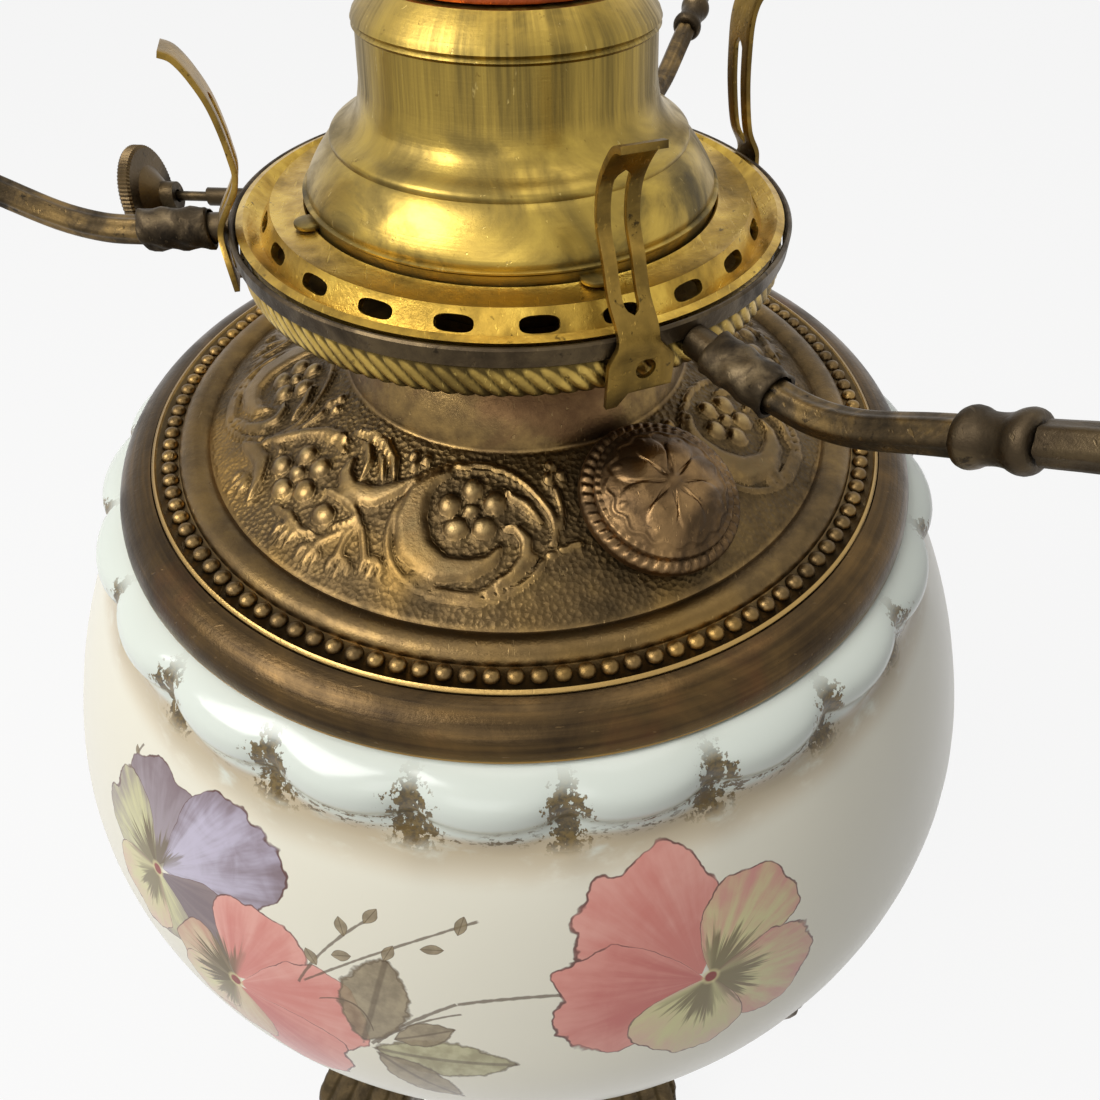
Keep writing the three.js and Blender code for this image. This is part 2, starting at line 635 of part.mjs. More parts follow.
function pinionShape() {
  const points = [];
  for (let tooth = 0; tooth < pinionTeeth; tooth += 1) {
    const middle = (360 / pinionTeeth) * tooth - 90;
    for (const [radius, half] of [
      [pinionRoot, -raiser.toothBase / 2], [pinionTip, -raiser.toothTip / 2],
      [pinionTip, raiser.toothTip / 2], [pinionRoot, raiser.toothBase / 2],
    ]) {
      const angle = turn(middle) + half / radius;
      points.push([radius * Math.cos(angle), radius * Math.sin(angle)]);
    }
  }
  return points;
}

// The rack's side view: [outwards, up], with a gap between two teeth level with the shaft
function rackShape() {
  const foot0 = shaftLevel - (rackTeeth - 3.5) * raiser.toothPitch;
  const points = [];
  for (let tooth = 0; tooth < rackTeeth; tooth += 1) {
    const middle = foot0 + tooth * raiser.toothPitch;
    points.push([rackRoot, middle - raiser.toothBase / 2], [rackTip, middle - raiser.toothTip / 2]);
    points.push([rackTip, middle + raiser.toothTip / 2], [rackRoot, middle + raiser.toothBase / 2]);
  }
  const low = foot0 - raiser.toothPitch;
  const high = low + raiser.rackLength + raiser.toothPitch;
  const back = rackRoot - raiser.rackThickness;
  return [[back, low], [rackRoot, low], ...points, [rackRoot, high], [back, high]];
}

const carrierBase = shaftLevel - (rackTeeth - 2.5) * raiser.toothPitch + raiser.rackLength;

function wickCarrier() {
  const carrierTop = carrierBase + raiser.carrierHeight;
  const band = tube(draught.radius + gap, wickInner - gap, carrierBase, carrierTop, 24);
  const rack = uprightPrism(rackShape(), raiser.rackWidth).rotateZ(turn(90));
  return join(band, rack);
}

function wickTubeSolid() {
  const wall = tube(wickInner, wickOuter, wickBottom, wickTop, 28);
  return cut(wall, pinionWindow(raiser.windowWidth).rotateZ(turn(-raiserAngle)));
}

const raiserGroup = group(head);
raiserGroup.rotation.z = turn(raiserAngle);
piece(raiserGroup, 'wick_tube', wickTubeSolid(), wornBrass);
piece(raiserGroup, 'wick_carrier', wickCarrier(), wornBrass);

// Pieces on the shaft are drawn round Z, and this group lays them along the shaft, knob end down -X
const shaftGroup = group(raiserGroup);
shaftGroup.position.set(0, raiser.shaftOffset, shaftLevel);
shaftGroup.rotation.y = turn(-90);
const shaftBore = raiser.shaftRadius + gap;
const shaftEnd = -raiser.pinionWidth;
piece(shaftGroup, 'shaft_housing',
  tube(shaftBore, raiser.housingRadius, raiser.housingStart, raiser.housingReach, 14), darkBronze);
piece(shaftGroup, 'wick_shaft', turned([
  [0, shaftEnd], [raiser.shaftRadius, shaftEnd], [raiser.shaftRadius, raiser.knobReach + gap],
  [0, raiser.knobReach + gap],
], 12), steel);
piece(shaftGroup, 'pinion',
  prism(pinionShape(), raiser.pinionWidth, [circle(shaftBore, 12)])
    .rotateZ(turn(180))
    .rotateZ(turn(-90))
    .translate(0, 0, -raiser.pinionWidth / 2), wornBrass);
const knobInner = raiser.knobReach - raiser.knobThickness;
piece(shaftGroup, 'wick_knob', turned([
  [shaftBore, knobInner - raiser.hubLength], [raiser.hubRadius, knobInner - raiser.hubLength],
  [raiser.hubRadius, knobInner - raiser.knobThickness], [raiser.knobRadius * 0.6, knobInner],
  [raiser.knobRadius, knobInner], [raiser.knobRadius, raiser.knobReach],
  [raiser.knobRadius * 0.7, raiser.knobReach], [raiser.hubRadius, raiser.knobReach - raiser.knobThickness / 3],
  [shaftBore, raiser.knobReach - raiser.knobThickness / 3],
], 24), darkBronze);

// Stepped dome of the converter

const domeBase = galleryTop + burner.flangeRise - dome.sink;

function domeLine() {
  const spread = dome.footRadius - dome.neckRadius;
  const stepTop = dome.stepHeight;
  const beadHeight = dome.bulgeHeight;
  const flareTop = beadHeight + dome.flareHeight;
  const shoulder = dome.height - dome.shoulderHeight;
  const bulgeShares = [[0.95, 0.12], [0.81, 0.5], [0.64, 0.86], [0.545, 1]];
  const flareShares = [[0.54, 0.1], [0.46, 0.19], [0.3, 0.31], [0.14, 0.54], [0.05, 1]];
  return [
    [dome.footRadius, 0], [dome.footRadius, stepTop],
    ...bulgeShares.map(([r, z]) => [dome.neckRadius + r * spread, mix(stepTop, beadHeight, z)]),
    ...flareShares.map(([r, z]) => [dome.neckRadius + r * spread, mix(beadHeight, flareTop, z)]),
    [dome.neckRadius, shoulder - dome.beadRise], [dome.neckRadius + dome.beadRise, shoulder],
    [dome.neckRadius, shoulder + dome.beadRise * 2],
    [mix(dome.neckRadius, dome.neckRadius - dome.shoulderInset, 0.45), mix(shoulder, dome.height, 0.6)],
    [dome.neckRadius - dome.shoulderInset, dome.height], [dome.boreRadius, dome.height],
  ];
}

function burnerDome() {
  const line = domeLine();
  const lining = innerWall(line.filter((_, i) => ![3, 6, 8, 11, 12].includes(i)), dome.wall);
  const shell = turned([...line, ...lining], 28);
  const ears = earAngles.map((angle) => {
    const reach = dome.earReach + dome.wall / 2;
    return block(reach, dome.earWidth, dome.earHeight)
      .translate(dome.footRadius + reach / 2 - dome.wall / 2, 0, dome.sink + gap + dome.earHeight / 2)
      .rotateZ(turn(angle));
  });
  return join(shell, ...ears);
}

const converter = group(head);
converter.position.z = domeBase;
piece(converter, 'burner_dome', burnerDome(), wornBrass);

// Electric fittings, measured from the dome's top

const fittings = group(converter);
fittings.position.z = dome.height;
const nippleBore = adapter.nippleRadius + gap;
const washerHigh = -dome.wall - gap;
const washerLow = washerHigh - adapter.washerHeight;
const plateTop = gap + adapter.height;
piece(fittings, 'adapter_plate', turned([
  [nippleBore, gap], [adapter.radius, gap], [adapter.radius, gap + adapter.height / 2],
  [adapter.radius - adapter.height / 2, plateTop], [nippleBore, plateTop],
], 28), copper);
piece(fittings, 'adapter_washer', tube(nippleBore, adapter.washerRadius, washerLow, washerHigh, 20), steel);
piece(fittings, 'adapter_locknut', hexNut(adapter.nutRadius, nippleBore, adapter.nutHeight), wornBrass)
  .position.z = washerLow - gap - adapter.nutHeight;
piece(fittings, 'adapter_nipple',
  tube(adapter.nippleRadius - adapter.nippleWall, adapter.nippleRadius, -adapter.nippleDepth,
    adapter.nippleRise, 16), wornBrass);

// Lamp socket

const capSeat = plateTop + gap;
const capRim = capSeat + socket.capHeight;
const shellRadius = socket.radius - socket.wall - gap;
const shellBase = capRim - socket.shellLap;
const shellTop = shellBase + socket.shellHeight;
const linerRadius = shellRadius - socket.wall - gap;
const linerInner = linerRadius - socket.linerWall;
const bodyRadius = linerInner - gap;
const bodyBase = shellBase + socket.bodyDrop;
const bodyTop = bodyBase + socket.bodyHeight;
const screwBase = bodyTop + gap;
const keyLevel = bodyBase + key.height;

function sideTool(radius, from, to, height, angle) {
  return turned([[0, from], [radius, from], [radius, to], [0, to]], 14)
    .rotateY(turn(90))
    .translate(0, 0, height)
    .rotateZ(turn(angle));
}

function socketCap() {
  const line = [
    [nippleBore, capSeat], [socket.hubRadius, capSeat],
    [mix(socket.hubRadius, socket.radius, 0.5), mix(capSeat, capRim, 0.16)],
    [mix(socket.hubRadius, socket.radius, 0.85), mix(capSeat, capRim, 0.36)],
    [socket.radius, mix(capSeat, capRim, 0.6)], [socket.radius, capRim],
  ];
  const cup = turned([...line, ...innerWall(line, socket.wall)], 20);
  const hole = sideTool(socket.bushingRadius + gap, socket.radius * 0.8, socket.radius + overrun,
    capSeat + socket.bushingHeight, bushingAngle);
  return cut(cup, hole);
}

function cordBushing() {
  const outer = socket.radius + socket.bushingLength / 2;
  const inner = socket.radius - socket.bushingLength / 2;
  const face = socket.radius + gap;
  return turned([
    [socket.bushingBore, inner], [socket.bushingRadius, inner], [socket.bushingRadius, face],
    [socket.bushingRadius + socket.wall, face], [socket.bushingRadius + socket.wall, outer],
    [socket.bushingBore, outer],
  ], 14).rotateY(turn(90)).translate(0, 0, capSeat + socket.bushingHeight).rotateZ(turn(bushingAngle));
}

function keyHole() {
  return sideTool(key.shaftRadius + play, key.depth, socket.radius + overrun, keyLevel, keyAngle);
}

function socketShell() {
  const flare = shellRadius + socket.lipFlare;
  const line = [
    [shellRadius, shellBase], [shellRadius, mix(shellBase, shellTop, 0.86)],
    [flare, mix(shellBase, shellTop, 0.91)], [flare, shellTop],
  ];
  return cut(turned([...line, ...innerWall(line, socket.wall)], 24), keyHole());
}

function screwShell() {
  const line = [[socket.screwRadius, screwBase]];
  const pitch = (socket.screwHeight - socket.threadDepth * 2) / threadTurns;
  for (let ridge = 0; ridge < threadTurns; ridge += 1) {
    const low = screwBase + socket.threadDepth + ridge * pitch;
    line.push([socket.screwRadius - socket.threadDepth, low + pitch / 3]);
    line.push([socket.screwRadius, low + (pitch * 5) / 6]);
  }
  line.push([socket.screwRadius, screwBase + socket.screwHeight]);
  return turned([...line, ...innerWall(line, socket.screwWall)], 16);
}

piece(fittings, 'socket_cap', socketCap(), wornBrass);
piece(fittings, 'cord_bushing', cordBushing(), blackPlastic);
piece(fittings, 'socket_shell', socketShell(), wornBrass);
piece(fittings, 'insulating_liner',
  cut(tube(linerInner, linerRadius, bodyBase, screwBase + socket.screwHeight, 24), keyHole()), fibre);
piece(fittings, 'socket_body',
  cut(turned([[0, bodyBase], [bodyRadius, bodyBase], [bodyRadius, bodyTop], [0, bodyTop]], 24), keyHole()),
  porcelain);
piece(fittings, 'screw_shell', screwShell(), copper);
piece(fittings, 'centre_contact', turned([
  [0, screwBase], [socket.contactRadius, screwBase], [socket.contactRadius / 2, screwBase + socket.contactHeight],
  [0, screwBase + socket.contactHeight],
], 12), copper);

function switchKey() {
  const start = key.depth + gap;
  const shaft = turned([[0, start], [key.shaftRadius, start], [key.shaftRadius, key.reach], [0, key.reach]], 12)
    .rotateY(turn(90));
  const paddle = uprightPrism(arc(0, 0, key.paddleWidth / 2, key.paddleHeight / 2, 0, 330, 11),
    key.paddleThickness).translate(key.reach + key.paddleWidth / 2 - key.shaftRadius, 0, 0);
  return join(shaft, paddle);
}

const keyGroup = group(fittings);
keyGroup.position.z = keyLevel;
keyGroup.rotation.z = turn(keyAngle);
piece(keyGroup, 'switch_key', switchKey(), blackPlastic);

// Shade tripod, measured from the bottom of its band, which rests on the knurled ring

const tripodGroup = group(head);
tripodGroup.position.z = ropeBase + rope.height + gap;
const bandInner = burner.galleryRadius + burner.rimFlare + gap + gap / 3;
const bandRadius = bandInner + tripod.bandWall;
const armLevel = -tripod.rootDrop;
const stubStart = bandRadius - tripod.bandWall / 4;
const stubEnd = bandRadius + tripod.stubLength;
const sleeveStart = stubEnd - tripod.sleeveLength * 0.3;
const armStart = stubEnd + gap;

// A round bar's section with shallow flutes
function fluted(radius) {
  const dip = radius - tripod.flute;
  return Array.from({ length: 12 }, (_, step) => {
    const reach = step % 2 ? dip : radius;
    return [reach * Math.cos(turn(30 * step)), reach * Math.sin(turn(30 * step))];
  });
}

// A pin along +X from one distance to another
function pin(radius, from, to, facets) {
  return turned([[0, from], [radius, from], [radius, to], [0, to]], facets).rotateY(turn(90));
}

function tripodBand() {
  const band = tube(bandInner, bandRadius, 0, tripod.bandHeight, 40);
  const stubs = Object.values(armAngles).map((angle) => {
    return pin(tripod.armRadius, stubStart, stubEnd, 10).translate(0, 0, armLevel).rotateZ(turn(angle));
  });
  return join(band, ...stubs);
}

function armSleeve() {
  const bore = tripod.armRadius + gap * 1.5;
  return tube(bore, tripod.sleeveRadius, sleeveStart, sleeveStart + tripod.sleeveLength, 12)
    .rotateY(turn(90))
    .translate(0, 0, armLevel);
}

const ferrulePoint = [tripod.ferruleReach, armLevel + tripod.armRise];
const bendSpan = tripod.ferruleReach - tripod.bendRadius;
const ferruleSlope = Math.atan2(tripod.armRise * 1.35, bendSpan);

// A point on the straight stretch through the ferrule, so far along it
function along(distance) {
  return [
    ferrulePoint[0] + distance * Math.cos(ferruleSlope), ferrulePoint[1] + distance * Math.sin(ferruleSlope),
  ];
}

function innerArm() {
  const bend = [[0.22, 0.06], [0.46, 0.26]];
  const points = [
    [armStart, armLevel], [tripod.bendRadius, armLevel],
    ...bend.map(([x, z]) => [tripod.bendRadius + x * bendSpan, armLevel + z * tripod.armRise]),
    along(-tripod.ferruleLength), along(-tripod.ferruleLength / 2 - gap),
  ];
  return swept(fluted(tripod.armRadius), points, 10);
}

function outerArm() {
  const start = along(tripod.ferruleLength);
  const bend = [[0.3, 0.13], [0.64, 0.35], [0.93, 0.66]];
  const points = [
    along(tripod.ferruleLength / 2 + gap), start,
    ...bend.map(([x, z]) => [mix(start[0], tripod.tipRadius, x), mix(start[1], tripod.tipRise, z)]),
    [tripod.tipRadius, tripod.tipRise - tripod.armRadius * 2], [tripod.tipRadius, tripod.tipRise],
  ];
  return swept(circle(tripod.armRadius, 8), points, 12);
}

// The threaded ferrule that joins the two lengths of an arm, with a bead at each end
function armFerrule() {
  const half = tripod.ferruleLength / 2;
  const radiusShares = [[-1, 0.8], [-0.8, 1], [-0.4, 0.92], [0, 0.8], [0.4, 0.92], [0.8, 1], [1, 0.8]];
  const outline = radiusShares.map(([z, share]) => [tripod.ferruleRadius * share, z * half]);
  return turned([[0, -half], ...outline, [0, half]], 12)
    .rotateY(turn(90) - ferruleSlope)
    .translate(ferrulePoint[0], 0, ferrulePoint[1]);
}

function shadeClaw() {
  const outer = claw.depth * 0.55;
  const inner = outer - claw.depth;
  const side = [
    [inner, 0], [outer, 0], [outer, claw.outerLip], [outer - claw.sheet, claw.outerLip],
    [outer - claw.sheet, claw.sheet], [inner + claw.sheet, claw.sheet], [inner + claw.sheet, claw.innerLip],
    [inner, claw.innerLip],
  ];
  return uprightPrism(side, claw.width).translate(tripod.tipRadius, 0, tripod.tipRise + gap);
}

piece(tripodGroup, 'tripod_band', tripodBand(), darkBronze);
for (const [side, angle] of Object.entries(armAngles)) {
  const arm = group(tripodGroup);
  arm.rotation.z = turn(angle);
  piece(arm, `${side}_arm_sleeve`, armSleeve(), darkBronze);
  piece(arm, `${side}_inner_arm`, innerArm(), brownBrass);
  piece(arm, `${side}_arm_ferrule`, armFerrule(), darkBronze);
  piece(arm, `${side}_outer_arm`, outerArm(), darkBronze);
  piece(arm, `${side}_shade_claw`, shadeClaw(), darkBronze);
}

// Slotted spring prongs: the side view of the bent strap, cut to the strap's front view

const prongRoot = bandRadius + gap;
const prongBase = -rope.height - gap;

function strapSide({ lean, lip, tip, bends }) {
  const root = prongRoot + prong.sheet;
  const line = bends.map(([x, z]) => [root - x * lean, prongBase + z * prong.height]);
  const [endX, endZ] = line[line.length - 1];
  const outer = [[root, prongBase - prong.tailDepth], ...line, [endX + lip, endZ + tip]];
  return uprightPrism([...outer, ...innerWall(outer, prong.sheet)], prong.plateLeft + prong.plateRight)
    .translate(0, (prong.plateRight - prong.plateLeft) / 2, 0);
}

function strapFront() {
  const half = prong.width / 2;
  const top = prong.height + overrun * 2;
  const plateTop = prong.plateHeight;
  const tail = -prong.tailDepth - overrun;
  const outline = [
    [-prong.plateLeft, tail], [-prong.plateLeft + prong.tailWidth, tail], [-prong.plateLeft + prong.tailWidth, 0],
    [prong.plateRight - prong.sheet, 0], [prong.plateRight, prong.sheet], [prong.plateRight, plateTop * 0.55],
    [mix(half, prong.plateRight, 0.6), plateTop * 0.78], [half, plateTop], [half, top], [-half, top],
    [-half, plateTop], [-prong.plateLeft, plateTop * 0.8],
  ];
  const slotHalf = prong.slotWidth / 2;
  const slot = [
    ...arc(0, prong.slotStart + slotHalf, slotHalf, slotHalf, 180, 360, 4),
    ...arc(0, prong.slotEnd - slotHalf, slotHalf, slotHalf, 0, 180, 4),
  ];
  const depth = prong.height;
  return prism(outline, depth, [slot, circle(prong.holeRadius, 10, prong.holeOffset, prong.holeHeight)])
    .rotateX(turn(90))
    .rotateZ(turn(90))
    .translate(prongRoot - depth / 2, 0, prongBase);
}

for (const strap of prongs) {
  const stand = group(tripodGroup);
  stand.rotation.z = turn(strap.angle);
  piece(stand, `${strap.name}_prong`, common(strapSide(strap), strapFront()), wornBrass);
}

export default lamp;
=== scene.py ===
import json
import math
from types import SimpleNamespace as Sizes

import bpy
import numpy as np
from mathutils import Matrix, Vector

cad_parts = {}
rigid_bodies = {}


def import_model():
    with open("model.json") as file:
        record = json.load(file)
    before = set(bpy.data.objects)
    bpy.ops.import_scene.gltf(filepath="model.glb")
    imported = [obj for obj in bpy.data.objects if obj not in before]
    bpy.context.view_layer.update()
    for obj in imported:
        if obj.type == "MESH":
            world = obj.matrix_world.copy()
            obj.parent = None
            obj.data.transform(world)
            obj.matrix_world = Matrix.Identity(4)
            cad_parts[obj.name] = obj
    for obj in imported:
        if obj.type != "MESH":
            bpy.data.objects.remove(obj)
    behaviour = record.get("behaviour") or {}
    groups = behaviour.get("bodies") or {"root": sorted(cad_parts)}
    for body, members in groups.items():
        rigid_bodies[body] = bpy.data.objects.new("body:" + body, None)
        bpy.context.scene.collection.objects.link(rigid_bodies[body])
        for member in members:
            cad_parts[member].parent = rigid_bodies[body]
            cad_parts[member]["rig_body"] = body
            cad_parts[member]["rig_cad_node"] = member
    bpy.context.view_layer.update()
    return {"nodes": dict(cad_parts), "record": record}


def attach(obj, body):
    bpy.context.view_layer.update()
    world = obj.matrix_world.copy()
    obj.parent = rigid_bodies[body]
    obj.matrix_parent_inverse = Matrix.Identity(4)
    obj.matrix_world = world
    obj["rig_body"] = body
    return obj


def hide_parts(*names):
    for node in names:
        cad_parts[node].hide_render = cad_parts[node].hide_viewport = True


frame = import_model()

# Sizes in metres: those of the CAD model, and those of detail that is only here, such as the bowl's
# fuller lobes and their scallop, the relief and the slots' corners
gap = 0.0003
merge_gap = 0.00001
bowl = Sizes(
    low=0.088, radius=0.113, height=0.1534, mouth=0.0768, rim_wall=0.0038, wall=0.0042, groove=0.0866,
    lobe_height=0.0122, lobe_bulge=0.0034, scallop=0.0024, hole=0.007, base=0.034, ring_cover=0.0014,
)
lobe_count = 23
first_lobe_angle = math.radians(-102.2)
ring = Sizes(
    low=0.24, overhang=0.0032, height=0.0063, wall=0.0013, ceiling=0.0032, skirt_depth=0.008,
    skirt_wall=0.0012, ledge_width=0.0052, ledge_top=0.0047,
)
fount = Sizes(
    wall=0.0009, rim_height=0.0012, rim_bead=0.0006, ridge_height=0.0021, border_width=0.0049,
    ridge_width=0.006, field_rise=0.0114, neck_radius=0.033, neck_rise=0.0086, collar_bore=0.0245,
    collar_wall=0.0029, bead_radius=0.0692, bead_size=0.0015, bead_height=0.0012,
)
bead_count = 122
relief = Sizes(band=0.00115, ball=0.0015, line=0.0008, groove=0.0004)
filler = Sizes(
    reach=0.0465, radius=0.0112, play=0.0006, wall=0.0012, cap_radius=0.0138, cap_height=0.0072,
    cap_lip=0.0018, stand_off=0.0014, neck_rise=0.0035, gasket_height=0.0014, flange_height=0.0008,
    rosette=0.0098, petal_height=0.00055, rope_width=0.0016, rope_height=0.00035,
)
filler_angle = math.radians(-61.5)
burner = Sizes(
    seat=0.2733, sheet=0.0008, gallery_radius=0.0443, gallery_height=0.0083, rim_flare=0.0007,
    valley_radius=0.0405, valley_depth=0.0024, flange_radius=0.0393, flange_rise=0.0015, rise=0.0056,
)
slot = Sizes(length=0.0056, width=0.0024, squareness=0.7)
slot_count = 22
first_slot_angle = math.radians(-102)
rope = Sizes(height=0.0048, thickness=0.0011, drop=0.0001, strand=0.00045, lean=0.0042)
strand_count = 118
dome = Sizes(
    foot_radius=0.0334, neck_radius=0.0218, height=0.0287, step_height=0.0031, bulge_height=0.0094,
    flare_height=0.0078, bead_rise=0.0004, shoulder_height=0.0039, shoulder_inset=0.0032,
    bore_radius=0.0132, wall=0.0008, sink=0.0005, ear_reach=0.0032, ear_width=0.0046, ear_height=0.0007,
)
ear_angles = [math.radians(angle) for angle in (-155, -71, 24)]
raiser = Sizes(
    offset=0.021, height=0.0021, floor=0.0009, shaft_radius=0.0009, knob_reach=0.0766,
    knob_radius=0.0089, knob_thickness=0.0024, hub_radius=0.0026, hub_length=0.005, knurl=0.00022,
)
raiser_angle = math.radians(-5.2)
tripod = Sizes(
    band_wall=0.0009, band_height=0.003, arm_radius=0.0023, flute=0.00035, stub_length=0.0076,
    sleeve_radius=0.0034, sleeve_length=0.0112, root_drop=0.0006, bend_radius=0.062,
    ferrule_reach=0.088, ferrule_length=0.0076, ferrule_radius=0.0033, tip_radius=0.121, tip_rise=0.05,
    arm_rise=0.011, solder=0.0007,
)
arm_angles = {"right": math.radians(-58), "back": math.radians(61), "left": math.radians(183)}
prong = Sizes(
    sheet=0.0009, width=0.0059, slot_width=0.0022, height=0.032, plate_height=0.0078, plate_left=0.0041,
    plate_right=0.0058, hole_radius=0.0015, hole_offset=0.0015, hole_height=0.0034, tail_depth=0.0019,
    tail_width=0.0018, slot_start=0.0105, slot_end=0.0265,
)
soft_edge = 0.00025
quarter = math.pi / 2


# Selecting and shaping, as by hand


def clear_selection():
    bpy.ops.object.select_all(action="DESELECT")


def select_only(piece):
    clear_selection()
    piece.select_set(True)
    bpy.context.view_layer.objects.active = piece


def edit(piece):
    select_only(piece)
    bpy.ops.object.mode_set(mode="EDIT")
    bpy.ops.mesh.select_all(action="SELECT")


def leave_edit():
    bpy.ops.object.mode_set(mode="OBJECT")


def flowing(points, steps):
    """Points on a smooth line through the given ones."""
    ends = [points[0], *points, points[-1]]
    line = []
    for before, start, stop, after in zip(ends, ends[1:], ends[2:], ends[3:]):
        for step in range(steps):
            t = step / steps
            weights = (
                (-t + 2 * t**2 - t**3) / 2, (2 - 5 * t**2 + 3 * t**3) / 2,
                (t + 4 * t**2 - 3 * t**3) / 2, (t**3 - t**2) / 2,
            )
            four = (before, start, stop, after)
            line.append(tuple(sum(w * p[i] for w, p in zip(weights, four)) for i in range(len(start))))
    return [*line, tuple(points[-1])]


def arc(centre_radius, centre_level, across, up, start, stop, steps):
    angles = [math.radians(start + (stop - start) * step / steps) for step in range(steps + 1)]
    return [(centre_radius + across * math.cos(a), centre_level + up * math.sin(a)) for a in angles]


def mix(start, stop, share):
    return start + (stop - start) * share


def drawn_line(name, points):
    """A line of edges, extruded point by point from one vertex."""
    clear_selection()
    bpy.ops.mesh.primitive_plane_add(size=gap)
    piece = bpy.context.object
    piece.name = name
    piece.data.name = name
    bpy.ops.object.mode_set(mode="EDIT")
    bpy.ops.mesh.merge(type="CENTER")
    bpy.ops.transform.translate(value=points[0])
    for here, there in zip(points, points[1:]):
        bpy.ops.mesh.extrude_vertices_move(TRANSFORM_OT_translate={"value": Vector(there) - Vector(here)})
    bpy.ops.mesh.select_all(action="SELECT")
    return piece


def turned(name, outline, steps):
    """A solid of revolution about Z from a closed outline of radius and level."""
    piece = drawn_line(name, [(radius, 0, level) for radius, level in [*outline, outline[0]]])
    bpy.ops.mesh.spin(steps=steps, angle=math.tau, center=(0, 0, 0), axis=(0, 0, 1))
    bpy.ops.mesh.select_all(action="SELECT")
    bpy.ops.mesh.remove_doubles(threshold=merge_gap)
    bpy.ops.mesh.dissolve_degenerate(threshold=merge_gap)
    leave_edit()
    face_outwards(piece)
    return piece


def points_of(piece):
    flat = np.empty(len(piece.data.vertices) * 3)
    piece.data.vertices.foreach_get("co", flat)
    return flat.reshape(-1, 3)


def push_points(piece, points):
    piece.data.vertices.foreach_set("co", points.ravel())
    piece.data.update()


def round_axis(points):
    """The radius and the angle of each point about the Z axis."""
    return np.hypot(points[:, 0], points[:, 1]), np.arctan2(points[:, 1], points[:, 0])


def ridged(piece, growth):
    """Moves each point outwards from the Z axis by growth(angle, radius, level)."""
    points = points_of(piece)
    radius, angle = round_axis(points)
    share = 1 + growth(angle, radius, points[:, 2]) / np.maximum(radius, gap)
    points[:, 0] *= share
    points[:, 1] *= share
    push_points(piece, points)


def placed(piece, matrix):
    piece.data.transform(matrix)
    piece.data.update()
    return piece


def copy_of(piece, name, matrix):
    twin = piece.copy()
    twin.data = piece.data.copy()
    twin.name = name
    bpy.context.scene.collection.objects.link(twin)
    return placed(twin, matrix)


def joined(name, pieces):
    clear_selection()
    for piece in pieces:
        piece.select_set(True)
    bpy.context.view_layer.objects.active = pieces[0]
    bpy.ops.object.join()
    pieces[0].name = name
    pieces[0].data.name = name
    return pieces[0]


def with_modifier(piece, kind, settings):
    select_only(piece)
    modifier = piece.modifiers.new(kind, kind)
    for key, value in settings.items():
        setattr(modifier, key, value)
    bpy.ops.object.modifier_apply(modifier=modifier.name)
    return piece


def pierced(piece, cutter):
    with_modifier(piece, "BOOLEAN", {"operation": "DIFFERENCE", "object": cutter, "solver": "EXACT"})
    bpy.data.objects.remove(cutter)
    return piece


def rounded(piece, width):
    settings = {"width": width, "segments": 2, "limit_method": "ANGLE", "angle_limit": math.radians(50)}
    return with_modifier(piece, "BEVEL", settings)


def face_outwards(piece):
    edit(piece)
    bpy.ops.mesh.normals_make_consistent(inside=False)
    leave_edit()


body_of_node = {
    node: body for body, members in frame["record"]["behaviour"]["bodies"].items() for node in members
}
slot_of_node = {row["node"]: row["material_slot"] for row in frame["record"]["subparts"]}


def settled(piece, material, *nodes, like=None, smooth=35):
    """Smooths, colours and seats a finished piece, which stands for the given CAD nodes."""
    node = nodes[0] if nodes else like
    select_only(piece)
    bpy.ops.object.shade_smooth_by_angle(angle=math.radians(smooth))
    piece.data.materials.clear()
    piece.data.materials.append(material)
    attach(piece, body_of_node[node])
    if nodes:
        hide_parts(*nodes)
    return piece


def merged_copy(node):
    """A copy of a CAD node with its corners merged and its flat faces dissolved."""
    source = frame["nodes"][node]
    piece = source.copy()
    piece.data = source.data.copy()
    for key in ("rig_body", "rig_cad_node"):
        del piece[key]
    piece.parent = None
    piece.matrix_world = Matrix.Identity(4)
    piece.name = f"{node}_finished"
    piece.data.name = piece.name
    bpy.context.scene.collection.objects.link(piece)
    edit(piece)
    bpy.ops.mesh.customdata_custom_splitnormals_clear()
    bpy.ops.mesh.remove_doubles(threshold=merge_gap)
    bpy.ops.mesh.select_all(action="SELECT")
    bpy.ops.mesh.dissolve_limited(angle_limit=math.radians(1))
    leave_edit()
    return piece


# Materials


def paint(red, green, blue):
    """A colour as it looks, as the shader's own linear numbers."""
    shares = (red / 255, green / 255, blue / 255)
    return (*(s / 12.92 if s <= 0.04045 else ((s + 0.055) / 1.055) ** 2.4 for s in shares), 1)


